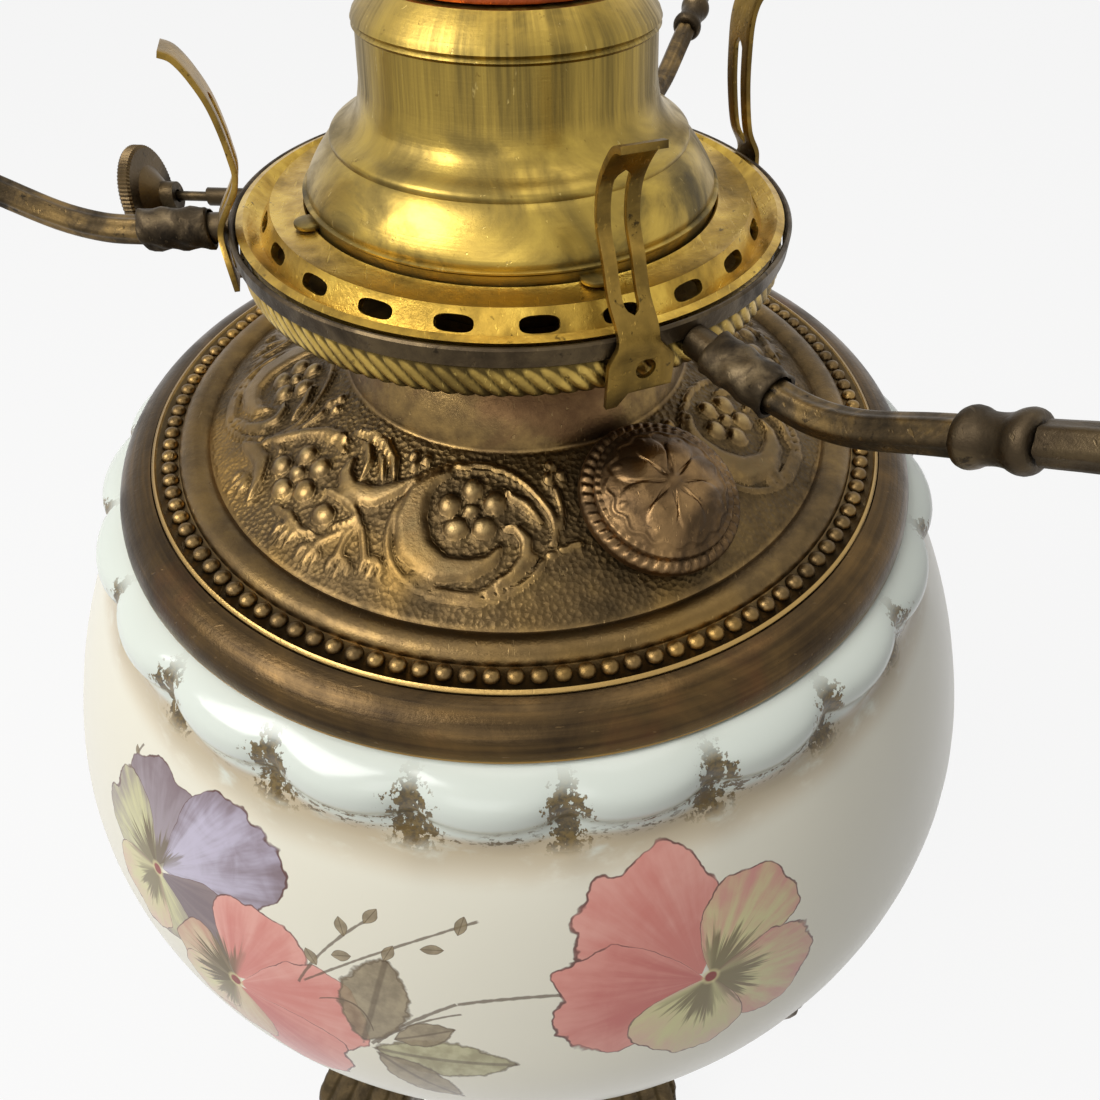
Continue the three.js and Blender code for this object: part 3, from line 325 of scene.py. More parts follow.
class Wire:
    """A node's output, with the operators that add Math nodes."""

    def __init__(self, tree, socket):
        self.tree = tree
        self.socket = socket

    def add(self, kind, settings, values, output=0):
        node = self.tree.nodes.new(kind)
        for key, value in settings.items():
            if key == "stops":
                ramp = node.color_ramp
                for _ in value[2:]:
                    ramp.elements.new(1)
                for element, (position, colour) in zip(ramp.elements, value):
                    element.position = position
                    element.color = colour
            else:
                setattr(node, key, value)
        for key, value in values.items():
            if isinstance(value, Wire):
                self.tree.links.new(value.socket, node.inputs[key])
            else:
                node.inputs[key].default_value = value
        return Wire(self.tree, node.outputs[output] if node.outputs else None)

    def maths(self, operation, *values):
        return self.add("ShaderNodeMath", {"operation": operation}, dict(enumerate((self, *values))))

    def __add__(self, other):
        return self.maths("ADD", other)

    def __sub__(self, other):
        return self.maths("SUBTRACT", other)

    def __mul__(self, other):
        return self.maths("MULTIPLY", other)

    def __truediv__(self, other):
        return self.maths("DIVIDE", other)

    def __rsub__(self, other):
        return self.maths("MULTIPLY", -1).maths("ADD", other)

    __radd__ = __add__
    __rmul__ = __mul__

    def size(self):
        return self.maths("ABSOLUTE")

    def rising(self, low, high):
        """0 below low, 1 above high and smooth between; falling if low is the larger."""
        smooth = {"interpolation_type": "SMOOTHSTEP"}
        return self.add("ShaderNodeMapRange", smooth, {0: self, 1: low, 2: high})

    def stretched(self, across, along, up):
        return self.add("ShaderNodeVectorMath", {"operation": "MULTIPLY"}, {0: self, 1: (across, along, up)})

    def moved(self, offset):
        return self.add("ShaderNodeVectorMath", {"operation": "SUBTRACT"}, {0: self, 1: offset})

    def along(self, direction):
        dot = {"operation": "DOT_PRODUCT"}
        return self.add("ShaderNodeVectorMath", dot, {0: self, 1: direction}, "Value")

    def noise(self, scale, detail=3, roughness=0.55, distortion=0):
        values = {
            "Vector": self, "Scale": scale, "Detail": detail, "Roughness": roughness,
            "Distortion": distortion,
        }
        return self.add("ShaderNodeTexNoise", {}, values)

    def cells(self, scale):
        return self.add("ShaderNodeTexVoronoi", {}, {"Vector": self, "Scale": scale})

    def parts(self):
        return [self.add("ShaderNodeSeparateXYZ", {}, {0: self}, axis) for axis in "XYZ"]

    def round_axis(self):
        """The angle and the radius about the Z axis, and the level."""
        x, y, z = self.parts()
        return y.maths("ARCTAN2", x), (x * x + y * y).maths("SQRT"), z

    def coat(self, *shades):
        """The first shade, a wire or a paint's numbers, where this mask is 0 and the second where it is 1."""
        first, second = (shade if isinstance(shade, Wire) else paint(*shade) for shade in shades)
        return self.add("ShaderNodeMix", {"data_type": "RGBA"}, {0: self, 6: first, 7: second}, 2)

    def ramp(self, *stops):
        painted = [(position, paint(*shade)) for position, shade in stops]
        return self.add("ShaderNodeValToRGB", {"stops": painted}, {0: self})


def new_material(name):
    material = bpy.data.materials.new(name)
    material.use_nodes = True
    material.node_tree.nodes.clear()
    return material, Wire(material.node_tree, None).add("ShaderNodeTexCoord", {}, {}, "Object")


def finish(place, colour, roughness, height, depth, fixed):
    """Wires a surface from its colour, roughness and bump, with its even values on the shader itself."""
    bump = place.add("ShaderNodeBump", {}, {"Height": height, "Distance": depth, "Strength": 1})
    values = {"Base Color": colour, "Roughness": roughness, "Normal": bump, **fixed}
    shader = place.add("ShaderNodeBsdfPrincipled", {}, values)
    place.add("ShaderNodeOutputMaterial", {}, {"Surface": shader})


fine_bump = 0.00006
deep_bump = 0.00022


def metal(name, bright, middle, dark, gloss, streak=0.5, cloud=55, painted_recess_shade=None):
    """Old metal: clouds and upright streaks of tarnish, pits, scratches, and painted shade in the recesses
    that the given mask picks out.
    """
    material, place = new_material(name)
    clouds = place.noise(cloud, 5, 0.62, 0.6)
    streaks = place.stretched(1, 1, 0.07).noise(330, 4, 0.6)
    broad_streaks = place.stretched(1, 1, 0.05).noise(90, 3, 0.5)
    tarnish = clouds * (1 - streak) + (streaks * 0.45 + broad_streaks * 0.55) * streak
    colour = tarnish.ramp((0.36, bright), (0.5, middle), (0.64, dark))
    pits = place.noise(1500, 3, 0.7)
    spots = place.noise(420, 4, 0.7)
    colour = spots.rising(0.62, 0.72).coat(colour, dark)
    scratches = place.stretched(1, 0.12, 0.5).noise(1900, 2, 0.5).rising(0.64, 0.7)
    colour = (scratches * 0.35).coat(colour, bright)
    if painted_recess_shade:
        # Painted shade: darkens the recesses that the mask picks out
        colour = painted_recess_shade(place).coat(colour, (52, 42, 24))
    roughness = gloss + tarnish.rising(0.4, 0.65) * 0.2 + pits * 0.08 - scratches * 0.06
    finish(place, colour, roughness, pits + spots * 0.6 - scratches * 0.4, fine_bump, {"Metallic": 1})
    return material


def plain_material(name, light, dark, scale, gloss, depth, metallic):
    """A dull or glazed stuff with soft spots of two shades."""
    material, place = new_material(name)
    spots = place.noise(scale, 6, 0.65)
    grain = place.noise(scale * 6, 3, 0.6)
    colour = (spots * 0.6 + grain * 0.4).ramp((0.38, dark), (0.62, light))
    finish(place, colour, gloss + spots * 0.12, spots + grain * 0.5, depth, {"Metallic": metallic})
    return material


worn_brass = metal("worn_brass", (222, 187, 84), (176, 142, 60), (98, 78, 34), 0.24, streak=0.6)
hidden_brass = metal("hidden_brass", (190, 158, 84), (140, 112, 56), (82, 66, 38), 0.34)
# Painted shade: a darkened copy of the brass for the spring prongs, standing in for shade and dark
# reflections
strap_brass = metal("strap_brass", (160, 128, 60), (110, 88, 42), (56, 45, 26), 0.28, streak=0.3)
dark_bronze = metal("dark_bronze", (92, 78, 56), (70, 59, 44), (52, 44, 33), 0.36, streak=0.2, cloud=120)
arm_brass = metal("arm_brass", (128, 104, 64), (78, 65, 46), (44, 38, 30), 0.36, streak=0.2, cloud=140)
brown_brass = metal("brown_brass", (150, 124, 84), (104, 84, 58), (58, 47, 36), 0.32, streak=0.1)
copper = metal("copper", (214, 122, 74), (178, 88, 50), (104, 54, 36), 0.3, streak=0.1)
steel = metal("steel", (150, 146, 138), (118, 114, 106), (70, 64, 56), 0.34, streak=0.1)
plaster = plain_material("plaster", (222, 214, 198), (186, 176, 156), 160, 0.75, deep_bump, 0)
cork = plain_material("cork", (172, 132, 86), (112, 78, 46), 480, 0.72, deep_bump, 0)
porcelain = plain_material("porcelain", (236, 232, 222), (220, 213, 200), 60, 0.12, fine_bump, 0)
fibre = plain_material("fibre", (112, 92, 70), (76, 60, 46), 300, 0.7, fine_bump, 0)
black_plastic = plain_material("black_plastic", (36, 32, 28), (20, 18, 15), 220, 0.26, fine_bump, 0)

material_of_slot = {
    "dark_bronze": dark_bronze, "brown_brass": brown_brass, "worn_brass": worn_brass, "copper": copper,
    "steel": steel, "opal_glass": porcelain, "plaster": plaster, "cork": cork, "porcelain": porcelain,
    "fibre": fibre, "black_plastic": black_plastic,
}


# Foot casting: the CAD shape rounded as a casting, with ribs along its legs and round its shells

cast = Sizes(
    voxel=0.0015, rib_depth=0.0017, leg_start=0.058, toe_spread=math.radians(24.7), leg_spread=0.135,
    shell_reach=0.084, shell_radius=0.021, shell_high=0.023,
)
first_bracket_angle = math.radians(-98)
ribs_on_half_leg = 2.5
ribs_on_shell = 9


def foot_casting():
    piece = merged_copy("foot_casting")
    with_modifier(piece, "REMESH", {"mode": "VOXEL", "voxel_size": cast.voxel})
    with_modifier(piece, "SMOOTH", {"factor": 0.5, "iterations": 8})
    points = points_of(piece)
    flat = np.empty(points.size)
    piece.data.vertex_normals.foreach_get("vector", flat)
    normals = flat.reshape(-1, 3)
    radius, angle = round_axis(points)
    turn = (angle - first_bracket_angle) / quarter
    off_bracket = (np.remainder(turn + 0.5, 1) - 0.5) * quarter
    share = np.sin(np.abs(off_bracket) - cast.toe_spread) / cast.leg_spread
    ribs = np.abs(np.cos(ribs_on_half_leg * math.pi * share)) ** 0.7
    start = np.clip((radius - cast.leg_start) / (cast.leg_start * 0.2), 0, 1)
    on_leg = (np.abs(share) < 1.1) * start * (normals[:, 2] > -0.3)
    ahead = radius * np.cos(off_bracket) - cast.shell_reach
    aside = radius * np.sin(off_bracket)
    fan = np.abs(np.cos(ribs_on_shell * np.arctan2(aside, ahead))) ** 0.7
    on_shell = (points[:, 2] < cast.shell_high) & (on_leg == 0) & (ahead > -cast.shell_radius / 2)
    on_shell &= np.hypot(ahead, aside) > cast.shell_radius * 0.45
    depth = cast.rib_depth * np.where(on_shell, 1 - fan, on_leg * (1 - ribs))
    push_points(piece, points - normals * depth[:, None])
    return piece


# Painted shade: a mask that darkens the grooves between the ribs along the legs
def between_ribs(place):
    angle, radius, z = place.round_axis()
    turn = (angle - first_bracket_angle) / quarter + 0.5
    off_leg = (turn.maths("FRACT") - 0.5).size() * quarter - cast.toe_spread
    share = off_leg.maths("SINE") / cast.leg_spread
    groove = (share * (ribs_on_half_leg * math.pi)).maths("COSINE").size().rising(0.55, 0.1)
    return groove * share.size().rising(1.15, 1.05) * 0.75


# Dark bronze, with painted shade in the grooves between the leg ribs
foot_bronze = metal(
    "foot_bronze", (104, 87, 61), (82, 69, 49), (62, 52, 38), 0.36, streak=0.1, cloud=110,
    painted_recess_shade=between_ribs)
settled(foot_casting(), foot_bronze, "foot_casting", smooth=60)


# Glass bowl

body_shares = [
    (0.5, 0.016), (0.69, 0.066), (0.858, 0.173), (0.96, 0.316), (1, 0.489), (0.991, 0.645), (0.93, 0.782),
    (0.853, 0.9),
]
lobe_shares = [(0.92, 0.24), (0.98, 0.5), (0.86, 0.78), (0.5, 0.95)]
groove_height = bowl.height - bowl.lobe_height - bowl.ring_cover - gap * 2
groove = bowl.low + groove_height


def bowl_line():
    """The bowl's outer line of radius and level, from its foot to the groove under the lobes."""
    body = [(r * bowl.radius, bowl.low + z * groove_height) for r, z in body_shares]
    return flowing([(bowl.base, bowl.low), *body, (bowl.groove, groove)], 5)


def on_bowl(where, turn_on):
    """A point on the bowl, turned on by an angle, with its directions right, up the surface and out."""
    degrees, level = where
    line = bowl_line()
    for (r0, z0), (r1, z1) in zip(line, line[1:]):
        if z0 <= level <= z1 and z1 > z0:
            radius = mix(r0, r1, (level - z0) / (z1 - z0))
            slope = Vector((r1 - r0, 0, z1 - z0)).normalized()
    turn = Matrix.Rotation(math.radians(degrees) + turn_on, 4, "Z")
    spot = turn @ Vector((radius, 0, level))
    right = turn @ Vector((0, 1, 0))
    up = turn @ slope
    return spot, right, up, right.cross(up)


def glass_bowl():
    crown = groove + bowl.lobe_height
    spread = bowl.groove - bowl.mouth
    lobes = [(bowl.mouth + r * spread, groove + z * bowl.lobe_height) for r, z in lobe_shares]
    outside = bowl_line()
    upper = flowing([outside[-1], *lobes, (bowl.mouth, crown)], 4)[1:]
    top = bowl.low + bowl.height
    inside = [(r - bowl.wall, z + bowl.wall * (1 - i / 8)) for i, (r, z) in enumerate(outside[5::6])]
    throat = bowl.mouth - bowl.rim_wall
    outline = [
        (bowl.hole, bowl.low), *outside, *upper, (bowl.mouth, top), (throat, top),
        (throat, crown - bowl.lobe_height / 2), *reversed(inside), (bowl.base, bowl.low + bowl.wall),
        (bowl.hole, bowl.low + bowl.wall),
    ]
    piece = turned("painted_bowl", outline, lobe_count * 14)
    points = points_of(piece)
    radius, angle = round_axis(points)
    wave = np.abs(np.sin(lobe_count * (angle - first_lobe_angle) / 2))
    up = (points[:, 2] - groove) / bowl.lobe_height
    outer = radius > bowl.mouth + gap
    fall = np.clip(1 - np.abs(up) / 0.75, 0, 1) ** 2
    points[:, 2] -= np.where(outer, bowl.scallop * (wave**0.6 - 0.55) * fall, 0)
    swell = np.where(outer & (up > -0.25) & (up < 1), np.sin(math.pi * np.clip((up + 0.12) / 1.12, 0, 1)), 0)
    grow = 1 + bowl.lobe_bulge * (wave**0.5 - 0.76) * swell**0.5 / np.maximum(radius, gap)
    points[:, 0] *= grow
    points[:, 1] *= grow
    push_points(piece, points)
    return piece


def aimed(right, up, degrees):
    """The direction at an angle on the bowl's surface, and the one square to it."""
    cosine, sine = math.cos(math.radians(degrees)), math.sin(math.radians(degrees))
    return right * cosine + up * sine, up * cosine - right * sine


def petal(colour, wash, across, rise, shape, tones):
    """Paints one petal over a colour: a ruffled fan from its root, washed tones and a drawn outline."""
    root_x, root_y, turn, half, length = shape
    ahead, aside = aimed(across - root_x * flower_reach, rise - root_y * flower_reach, turn)
    far = (ahead * ahead + aside * aside) / (length * flower_reach) ** 2
    off = aside.maths("ARCTAN2", ahead) / math.radians(half)
    edge = far + off.size().maths("POWER", 3.4) + wash.ruffle
    fan = across.add("ShaderNodeCombineXYZ", {}, {0: off * 3.4, 1: far * 0.5, 2: turn})
    streaks = fan.noise(1.6, 3, 0.6)
    shade = edge * 0.7 + streaks * 1.5 + wash.tone
    tinted = shade.rising(0.7, 1.75).coat(*tones)
    shown = edge.rising(1.01, 0.98).coat(colour, tinted)
    line = (edge - 0.99).size().rising(0.026, 0.008) * wash.ink
    return line.coat(shown, (92, 54, 46))


def flower(colour, place, wash, where, turn, petals, rays):
    """A garden flower, with brown rays from its red eye."""
    spot, right, up, out = on_bowl(where, turn)
    local = place.moved(spot)
    across = local.along(right)
    rise = local.along(up)
    painted = colour
    for shape, tones in petals:
        painted = petal(painted, wash, across, rise, shape, tones)
    if rays:
        far = (across * across + rise * rise).maths("SQRT")
        bearing = rise.maths("ARCTAN2", across)
        fan = place.add("ShaderNodeCombineXYZ", {}, {0: bearing * 5, 1: far * 25})
        strokes = fan.noise(1.7, 3, 0.7) - far / flower_reach
        gate = 0
        for ray in rays:
            facing = aimed(across, rise, ray)[0]
            gate = (facing / far).rising(0.6, 0.95) + gate
        painted = (strokes.rising(0.1, 0.24) * gate * 0.85).coat(painted, (104, 86, 46))
        throat = far.rising(flower_reach * 0.08, flower_reach * 0.05)
        painted = (throat * 0.7).coat(painted, (222, 206, 150))
        painted = far.rising(flower_reach * 0.052, flower_reach * 0.036).coat(painted, (140, 44, 30))
    near = local.along(out).rising(-flower_reach, -flower_reach * 0.8)
    return near.coat(colour, painted)


def leaf(colour, place, spot, right, up, shape, tones):
    """One pointed leaf from its root to its tip, with a mid vein."""
    *lengths, turn = shape
    across, rise, length, width = (share * flower_reach for share in lengths)
    axis, side = aimed(right, up, turn)
    local = place.moved(spot + right * across + up * rise + axis * length / 2)
    lengthwise = local.along(axis * 2 / length)
    sideways = local.along(side * 2 / width).size()
    edge = sideways + lengthwise * lengthwise + (local.noise(500, 2, 0.5) - 0.5) * 0.45
    washed = local.noise(320, 3, 0.6)
    body = washed.rising(0.3, 0.7).coat(*tones)
    shown = (edge.rising(1.0, 0.93) * 0.9).coat(colour, body)
    lines = (edge - 0.95).size().rising(0.1, 0.03) + sideways.rising(0.12, 0.04) * edge.rising(1.0, 0.9)
    return (lines * 0.6).coat(shown, (92, 74, 50))


def stem(colour, place, spot, right, up, shape, tone):
    """A thin bent stroke."""
    *lengths, turn = shape
    across, rise, length, width, bend = (share * flower_reach for share in lengths)
    axis, side = aimed(right, up, turn)
    local = place.moved(spot + right * across + up * rise + axis * length / 2)
    lengthwise = local.along(axis * 2 / length)
    bow = (1 - lengthwise * lengthwise) * bend
    off = (local.along(side) - bow).size() + (local.noise(600, 1, 0.5) - 0.5) * width
    stroke = off.rising(width, width * 0.45) * lengthwise.size().rising(1.0, 0.97)
    return (stroke * 0.8).coat(colour, tone)


def spray(colour, place, where, turn, leaves, stems):
    spot, right, up, out = on_bowl(where, turn)
    painted = colour
    for shape, tone in stems:
        painted = stem(painted, place, spot, right, up, shape, tone)
    for shape, tones in leaves:
        painted = leaf(painted, place, spot, right, up, shape, tones)
    near = place.moved(spot).along(out).rising(-bowl.base, -bowl.base * 0.8)
    return near.coat(colour, painted)


flower_reach = 0.026
painted_at = Sizes(
    right_flower=(-73.5, 0.1986), left_flower=(-131.7, 0.1987), low_flower=(-120.1, 0.1875),
    bouquet=(-105.4, 0.187), twigs=(-112.8, 0.1962), sprout=(-138.7, 0.2039),
)
rose = ((212, 128, 116), (230, 166, 152))
rose_deep = ((202, 112, 102), (226, 154, 140))
straw = ((214, 208, 152), (216, 180, 156))
straw_pink = ((216, 210, 154), (214, 150, 138))
mauve = ((156, 142, 148), (126, 106, 110))
mauve_dark = ((118, 100, 104), (142, 124, 122))
lilac = ((196, 188, 206), (130, 112, 118))
straw_grey = ((212, 208, 154), (150, 136, 126))
tan = ((214, 194, 156), (196, 150, 124))
olive = ((122, 104, 72), (160, 142, 108))
pale_olive = ((190, 184, 140), (150, 140, 96))
twig = (96, 76, 52)

# Each petal: its root and its length as shares of the flower's reach, with its turn and half its spread
right_petal_shares = [
    ((-0.06, 0.06, 116, 50, 1.08), rose), ((-0.04, 0, 176, 52, 0.98), rose_deep),
    ((0, 0.02, 50, 50, 0.84), straw_pink), ((0, 0, -22, 54, 0.8), straw_pink),
    ((0, 0, -116, 62, 0.72), straw),
]
left_petal_shares = [
    ((0, 0.04, 96, 44, 0.84), mauve), ((0.06, 0.06, 46, 38, 1.16), lilac),
    ((0.04, 0, -8, 46, 0.84), mauve_dark), ((0, 0.02, 158, 54, 0.72), straw_grey),
    ((0, 0, -66, 50, 0.6), straw_grey), ((0, 0, -116, 56, 0.66), straw),
]
low_petal_shares = [
    ((0, 0.04, 72, 46, 0.86), rose), ((0.04, 0, 14, 46, 0.96), rose), ((0.04, -0.04, -36, 44, 1), rose_deep),
    ((0, 0, -84, 46, 0.66), tan), ((0, 0, 170, 58, 0.56), tan), ((0, 0, -134, 54, 0.58), straw),
]


def bouquet(colour, place, turn):
    """The leaves and the long stalk under the right flower, and the budding twigs beside them."""
    leaf_shares = [
        ((-0.058, 0, 0.885, 0.5, 80), olive), ((0, -0.038, 1, 0.404, 3), pale_olive),
        ((0.038, -0.077, 0.769, 0.365, -40), olive), ((0.154, 0.115, 0.462, 0.231, 28), olive),
    ]
    stalk_shares = [
        ((0, 0, 0.808, 0.019, 0.038, 46), twig), ((0.558, 0.577, 0.869, 0.019, 0.046, 9), twig),
        ((0.038, 0.023, 0.731, 0.012, 0.062, 40), twig),
    ]
    colour = spray(colour, place, painted_at.bouquet, turn, leaf_shares, stalk_shares)
    bud_leaf_shares = [
        ((0.131, 0.238, 0.146, 0.092, 128), olive), ((0.223, 0.377, 0.146, 0.092, 20), olive),
        ((0.3, 0.569, 0.154, 0.085, 112), olive), ((0.415, 0.715, 0.154, 0.085, 64), olive),
        ((0.569, 0.469, 0.154, 0.077, 72), olive), ((0.785, 0.638, 0.146, 0.077, 12), olive),
        ((0.992, 0.8, 0.146, 0.077, 84), olive),
    ]
    twig_shares = [
        ((0, 0, 0.865, 0.014, 0.046, 60), twig), ((0.038, 0.038, 1.385, 0.012, 0.054, 40), twig),
        ((0.154, -0.077, 0.423, 0.011, 0.154, -20), twig),
    ]
    return spray(colour, place, painted_at.twigs, turn, bud_leaf_shares, twig_shares)


def sprout(colour, place, turn):
    tip_shares = [
        ((0.015, 0.2, 0.115, 0.062, 142), olive), ((0.046, 0.346, 0.115, 0.062, 34), olive),
        ((0.046, 0.485, 0.108, 0.054, 118), olive),
    ]
    stem_shares = [((0, 0, 0.646, 0.012, 0.046, 84), twig)]
    return spray(colour, place, painted_at.sprout, turn, tip_shares, stem_shares)


def opal_material(name, painting, turn):
    """Milky glass with a tinted body, brown tufts between the lobes and what the painting adds."""
    material, place = new_material(name)
    angle, radius, z = place.round_axis()
    drift = place.noise(14, 3, 0.5)
    warm = (z.rising(groove, groove - bowl.lobe_height * 0.6) * 0.8 + drift * 0.5).rising(0.3, 0.9)
    colour = warm.coat((222, 228, 217), (236, 231, 212))
    low = z.rising(bowl.low + bowl.radius, bowl.low + bowl.base)
    colour = (low * 0.5).coat(colour, (218, 212, 190))
    over = (z - groove) / bowl.lobe_height
    smear = place.stretched(1, 1, 2.4).noise(120, 4, 0.6)
    gilt = over.rising(-0.64, -0.1) * over.rising(0.13, -0.03) * smear.rising(0.15, 0.5)
    colour = (gilt * 0.7).coat(colour, (186, 156, 108))
    phase = (angle - first_lobe_angle) * (lobe_count / math.tau) + 0.5
    beside = (phase.maths("FRACT") - 0.5).size()
    body = 1 - beside / (over.rising(1.05, 0.7) * 0.127 + 0.055)
    bristle = place.stretched(1, 1, 0.35).noise(820, 3, 0.65)
    grain = place.noise(1300, 2, 0.6)
    window = over.rising(-0.2, 0.016) * over.rising(1, 0.77)
    tuft = (body + (bristle - 0.5) * 3.6 + (grain - 0.5) * 1.2).rising(0.3, 0.46) * window
    tuft_tone = grain.rising(0.35, 0.65).coat((66, 50, 14), (116, 92, 36))
    colour = (tuft * body.rising(-0.5, 0) * 0.95).coat(colour, tuft_tone)
    stray = place.stretched(1, 1, 1.8).noise(560, 3, 0.7).rising(0.53, 0.58)
    patch = place.noise(70, 2, 0.5).rising(0.42, 0.56)
    edge = over.rising(-0.115, 0) * over.rising(0.41, 0.23)
    colour = (stray * patch * edge * 0.95).coat(colour, (98, 76, 28))
    washed = place.noise(150, 3, 0.55, 1.2)
    wash = Sizes(
        ruffle=(place.noise(90, 1, 0.4) - 0.5) * 0.75 + (place.noise(280, 2, 0.5) - 0.5) * 0.24,
        tone=washed * 0.6 - 0.3, ink=washed.rising(0.3, 0.6) * 0.5 + 0.42,
    )
    colour = painting(colour, place, wash, turn)
    gloss = 0.22 - over.rising(-0.33, 0.08) * 0.1
    finish(place, colour, gloss + drift * 0.07 + tuft * 0.2, drift, fine_bump, {"IOR": 1.45})
    return material


def left_painting(colour, place, wash, turn):
    colour = sprout(colour, place, turn)
    colour = flower(colour, place, wash, painted_at.left_flower, turn, left_petal_shares, (160, -104, 90))
    return flower(colour, place, wash, painted_at.low_flower, turn, low_petal_shares, (178, -126, 120))


def right_painting(colour, place, wash, turn):
    colour = flower(colour, place, wash, painted_at.low_flower, turn, low_petal_shares[:3], ())
    colour = bouquet(colour, place, turn)
    return flower(colour, place, wash, painted_at.right_flower, turn, right_petal_shares, (56, -30, -122))


left_glass = opal_material("opal_glass_left", left_painting, 0)
bowl_piece = settled(glass_bowl(), left_glass, "glass_bowl", smooth=60)
half_turn = math.pi
for name, painting, turn in (
    ("opal_glass_right", right_painting, 0), ("opal_glass_back_left", left_painting, half_turn),
    ("opal_glass_back_right", right_painting, half_turn),
):
    bowl_piece.data.materials.append(opal_material(name, painting, turn))
bowl_piece.data.materials.append(porcelain)
seam_angle = math.radians(-113)
for face in bowl_piece.data.polygons:
    turned_by = math.remainder(math.atan2(face.center.y, face.center.x) - seam_angle, math.tau)
    quarter_turn = math.floor(turned_by / quarter)
    inside = face.normal.xy.dot(face.center.xy) < 0
    face.material_index = 4 if inside else {-1: 0, 0: 1, 1: 2, -2: 3}[quarter_turn]


# Shoulder ring

mouth = bowl.mouth + ring.overhang
ring_inner = bowl.mouth - bowl.rim_wall - gap


def shoulder_ring():
    crown = ring_inner + gap
    width = mouth - crown
    skirt = ring_inner - ring.skirt_wall
    ledge_under = ring.ledge_top - ring.wall
    ceiling = math.degrees(math.asin(ring.ceiling / (ring.height - ring.wall)))
    outline = [
        *arc(crown, 0, width, ring.height, 0, 90, 16), (ring_inner, ring.height),
        (ring_inner, ring.ledge_top), (skirt - ring.ledge_width, ring.ledge_top),
        (skirt - ring.ledge_width, ledge_under), (skirt, ledge_under), (skirt, -ring.skirt_depth),
        (ring_inner, -ring.skirt_depth), (ring_inner, ring.ceiling),
        *arc(crown, 0, width - ring.wall, ring.height - ring.wall, ceiling, 0, 6),
    ]
    return turned("rolled_shoulder_ring", [(r, ring.low + z) for r, z in outline], 200)


other_clouds = (0, 0, 0.7)


def ring_material():
    """Brown rolled brass with coppery patches, round bands of rubbed wear and painted reflection, and a thin
    golden lower edge.
    """
    material, place = new_material("rolled_brown_brass")
    angle, radius, z = place.round_axis()
    # Round bands along the ring: rubbed wear and painted reflection
    round_band_place = place.add("ShaderNodeCombineXYZ", {}, {0: angle * 2.2, 1: radius * 900, 2: z * 900})
    wear_and_reflection_bands = round_band_place.noise(1, 4, 0.6)
    clouds = place.noise(60, 5, 0.62, 0.5)
    tone = clouds * 0.6 + wear_and_reflection_bands * 0.4
    colour = tone.ramp((0.34, (98, 76, 46)), (0.5, (72, 57, 37)), (0.66, (46, 37, 27)))
    coppery = place.moved(other_clouds).noise(34, 4, 0.6).rising(0.54, 0.68)
    colour = (coppery * 0.3).coat(colour, (100, 62, 40))
    lower = z.rising(ring.low + ring.height * 0.42, ring.low)
    # Painted reflection and rubbed wear: lighter round bands over the lower part of the roll
    colour = (lower * wear_and_reflection_bands.rising(0.3, 0.6) * 0.6).coat(colour, (122, 94, 46))
    edge = z.rising(ring.low + ring.height * 0.11, ring.low + ring.height * 0.04)
    colour = (edge * 0.75).coat(colour, (176, 136, 68))
    nicks = place.noise(900, 3, 0.7)
    scratches = place.stretched(0.2, 1, 1).noise(1500, 2, 0.5).rising(0.7, 0.76)
    colour = (scratches * 0.25).coat(colour, (140, 112, 72))
    roughness = 0.25 + clouds.rising(0.4, 0.7) * 0.16 + nicks * 0.08
    finish(place, colour, roughness, nicks + wear_and_reflection_bands * 0.8 - scratches * 0.4, fine_bump, {"Metallic": 1})
    return material


rolled_brass = ring_material()
settled(shoulder_ring(), rolled_brass, "shoulder_ring")


# Fount top: turned disc with a beaded border, a ridge and an embossed sloping field

disc_radius = ring_inner - gap
border_inner = disc_radius - fount.border_width
field_radius = border_inner - fount.ridge_width
collar_radius = fount.collar_bore + fount.collar_wall
neck_top_radius = collar_radius + gap + fount.wall
fount_seat = ring.low + ring.ledge_top + gap
border_top = fount_seat + fount.rim_height
field_low = border_top + fount.wall
field_high = field_low + fount.field_rise
neck_top = field_high + fount.neck_rise
field_width = field_radius - fount.neck_radius
field_slope = math.atan2(fount.field_rise, field_width)

# Embossing, drawn in shares of one repeat's turn (across) and of the field's width (inwards to outwards)
repeat_turn = math.tau / 10
repeat_count = 5
rosette_angle = math.radians(-101)
leaf_angle = math.radians(-137)
rosette_ball_shares = [
    (0, 0.372, 0.055), (-0.017, 0.246, 0.07), (0.138, 0.319, 0.074), (0.089, 0.46, 0.072),
    (-0.069, 0.477, 0.074), (-0.14, 0.351, 0.072), (0.449, 0.614, 0.035), (0.52, 0.114, 0.042),
    (0.494, 0.18, 0.042), (0.59, 0.167, 0.04), (-0.509, 0.13, 0.042), (-0.47, 0.184, 0.042),
    (-0.404, 0.13, 0.042),
]
rosette_band_shares = [
    [(-0.2, 0.18, 0.02), (-0.29, 0.228, 0.045), (-0.351, 0.316, 0.08), (-0.342, 0.474, 0.1),
     (-0.254, 0.632, 0.1), (-0.105, 0.71, 0.085), (0.036, 0.693, 0.07), (0.132, 0.65, 0.045),
     (0.186, 0.57, 0.018)],
    [(0.1, 0.25, 0.02), (0.211, 0.263, 0.03), (0.334, 0.325, 0.036), (0.42, 0.44, 0.012)],
    [(0.19, 0.46, 0.012), (0.273, 0.462, 0.03), (0.325, 0.526, 0.034), (0.316, 0.614, 0.036),
     (0.246, 0.72, 0.03), (0.14, 0.77, 0.012)],
]
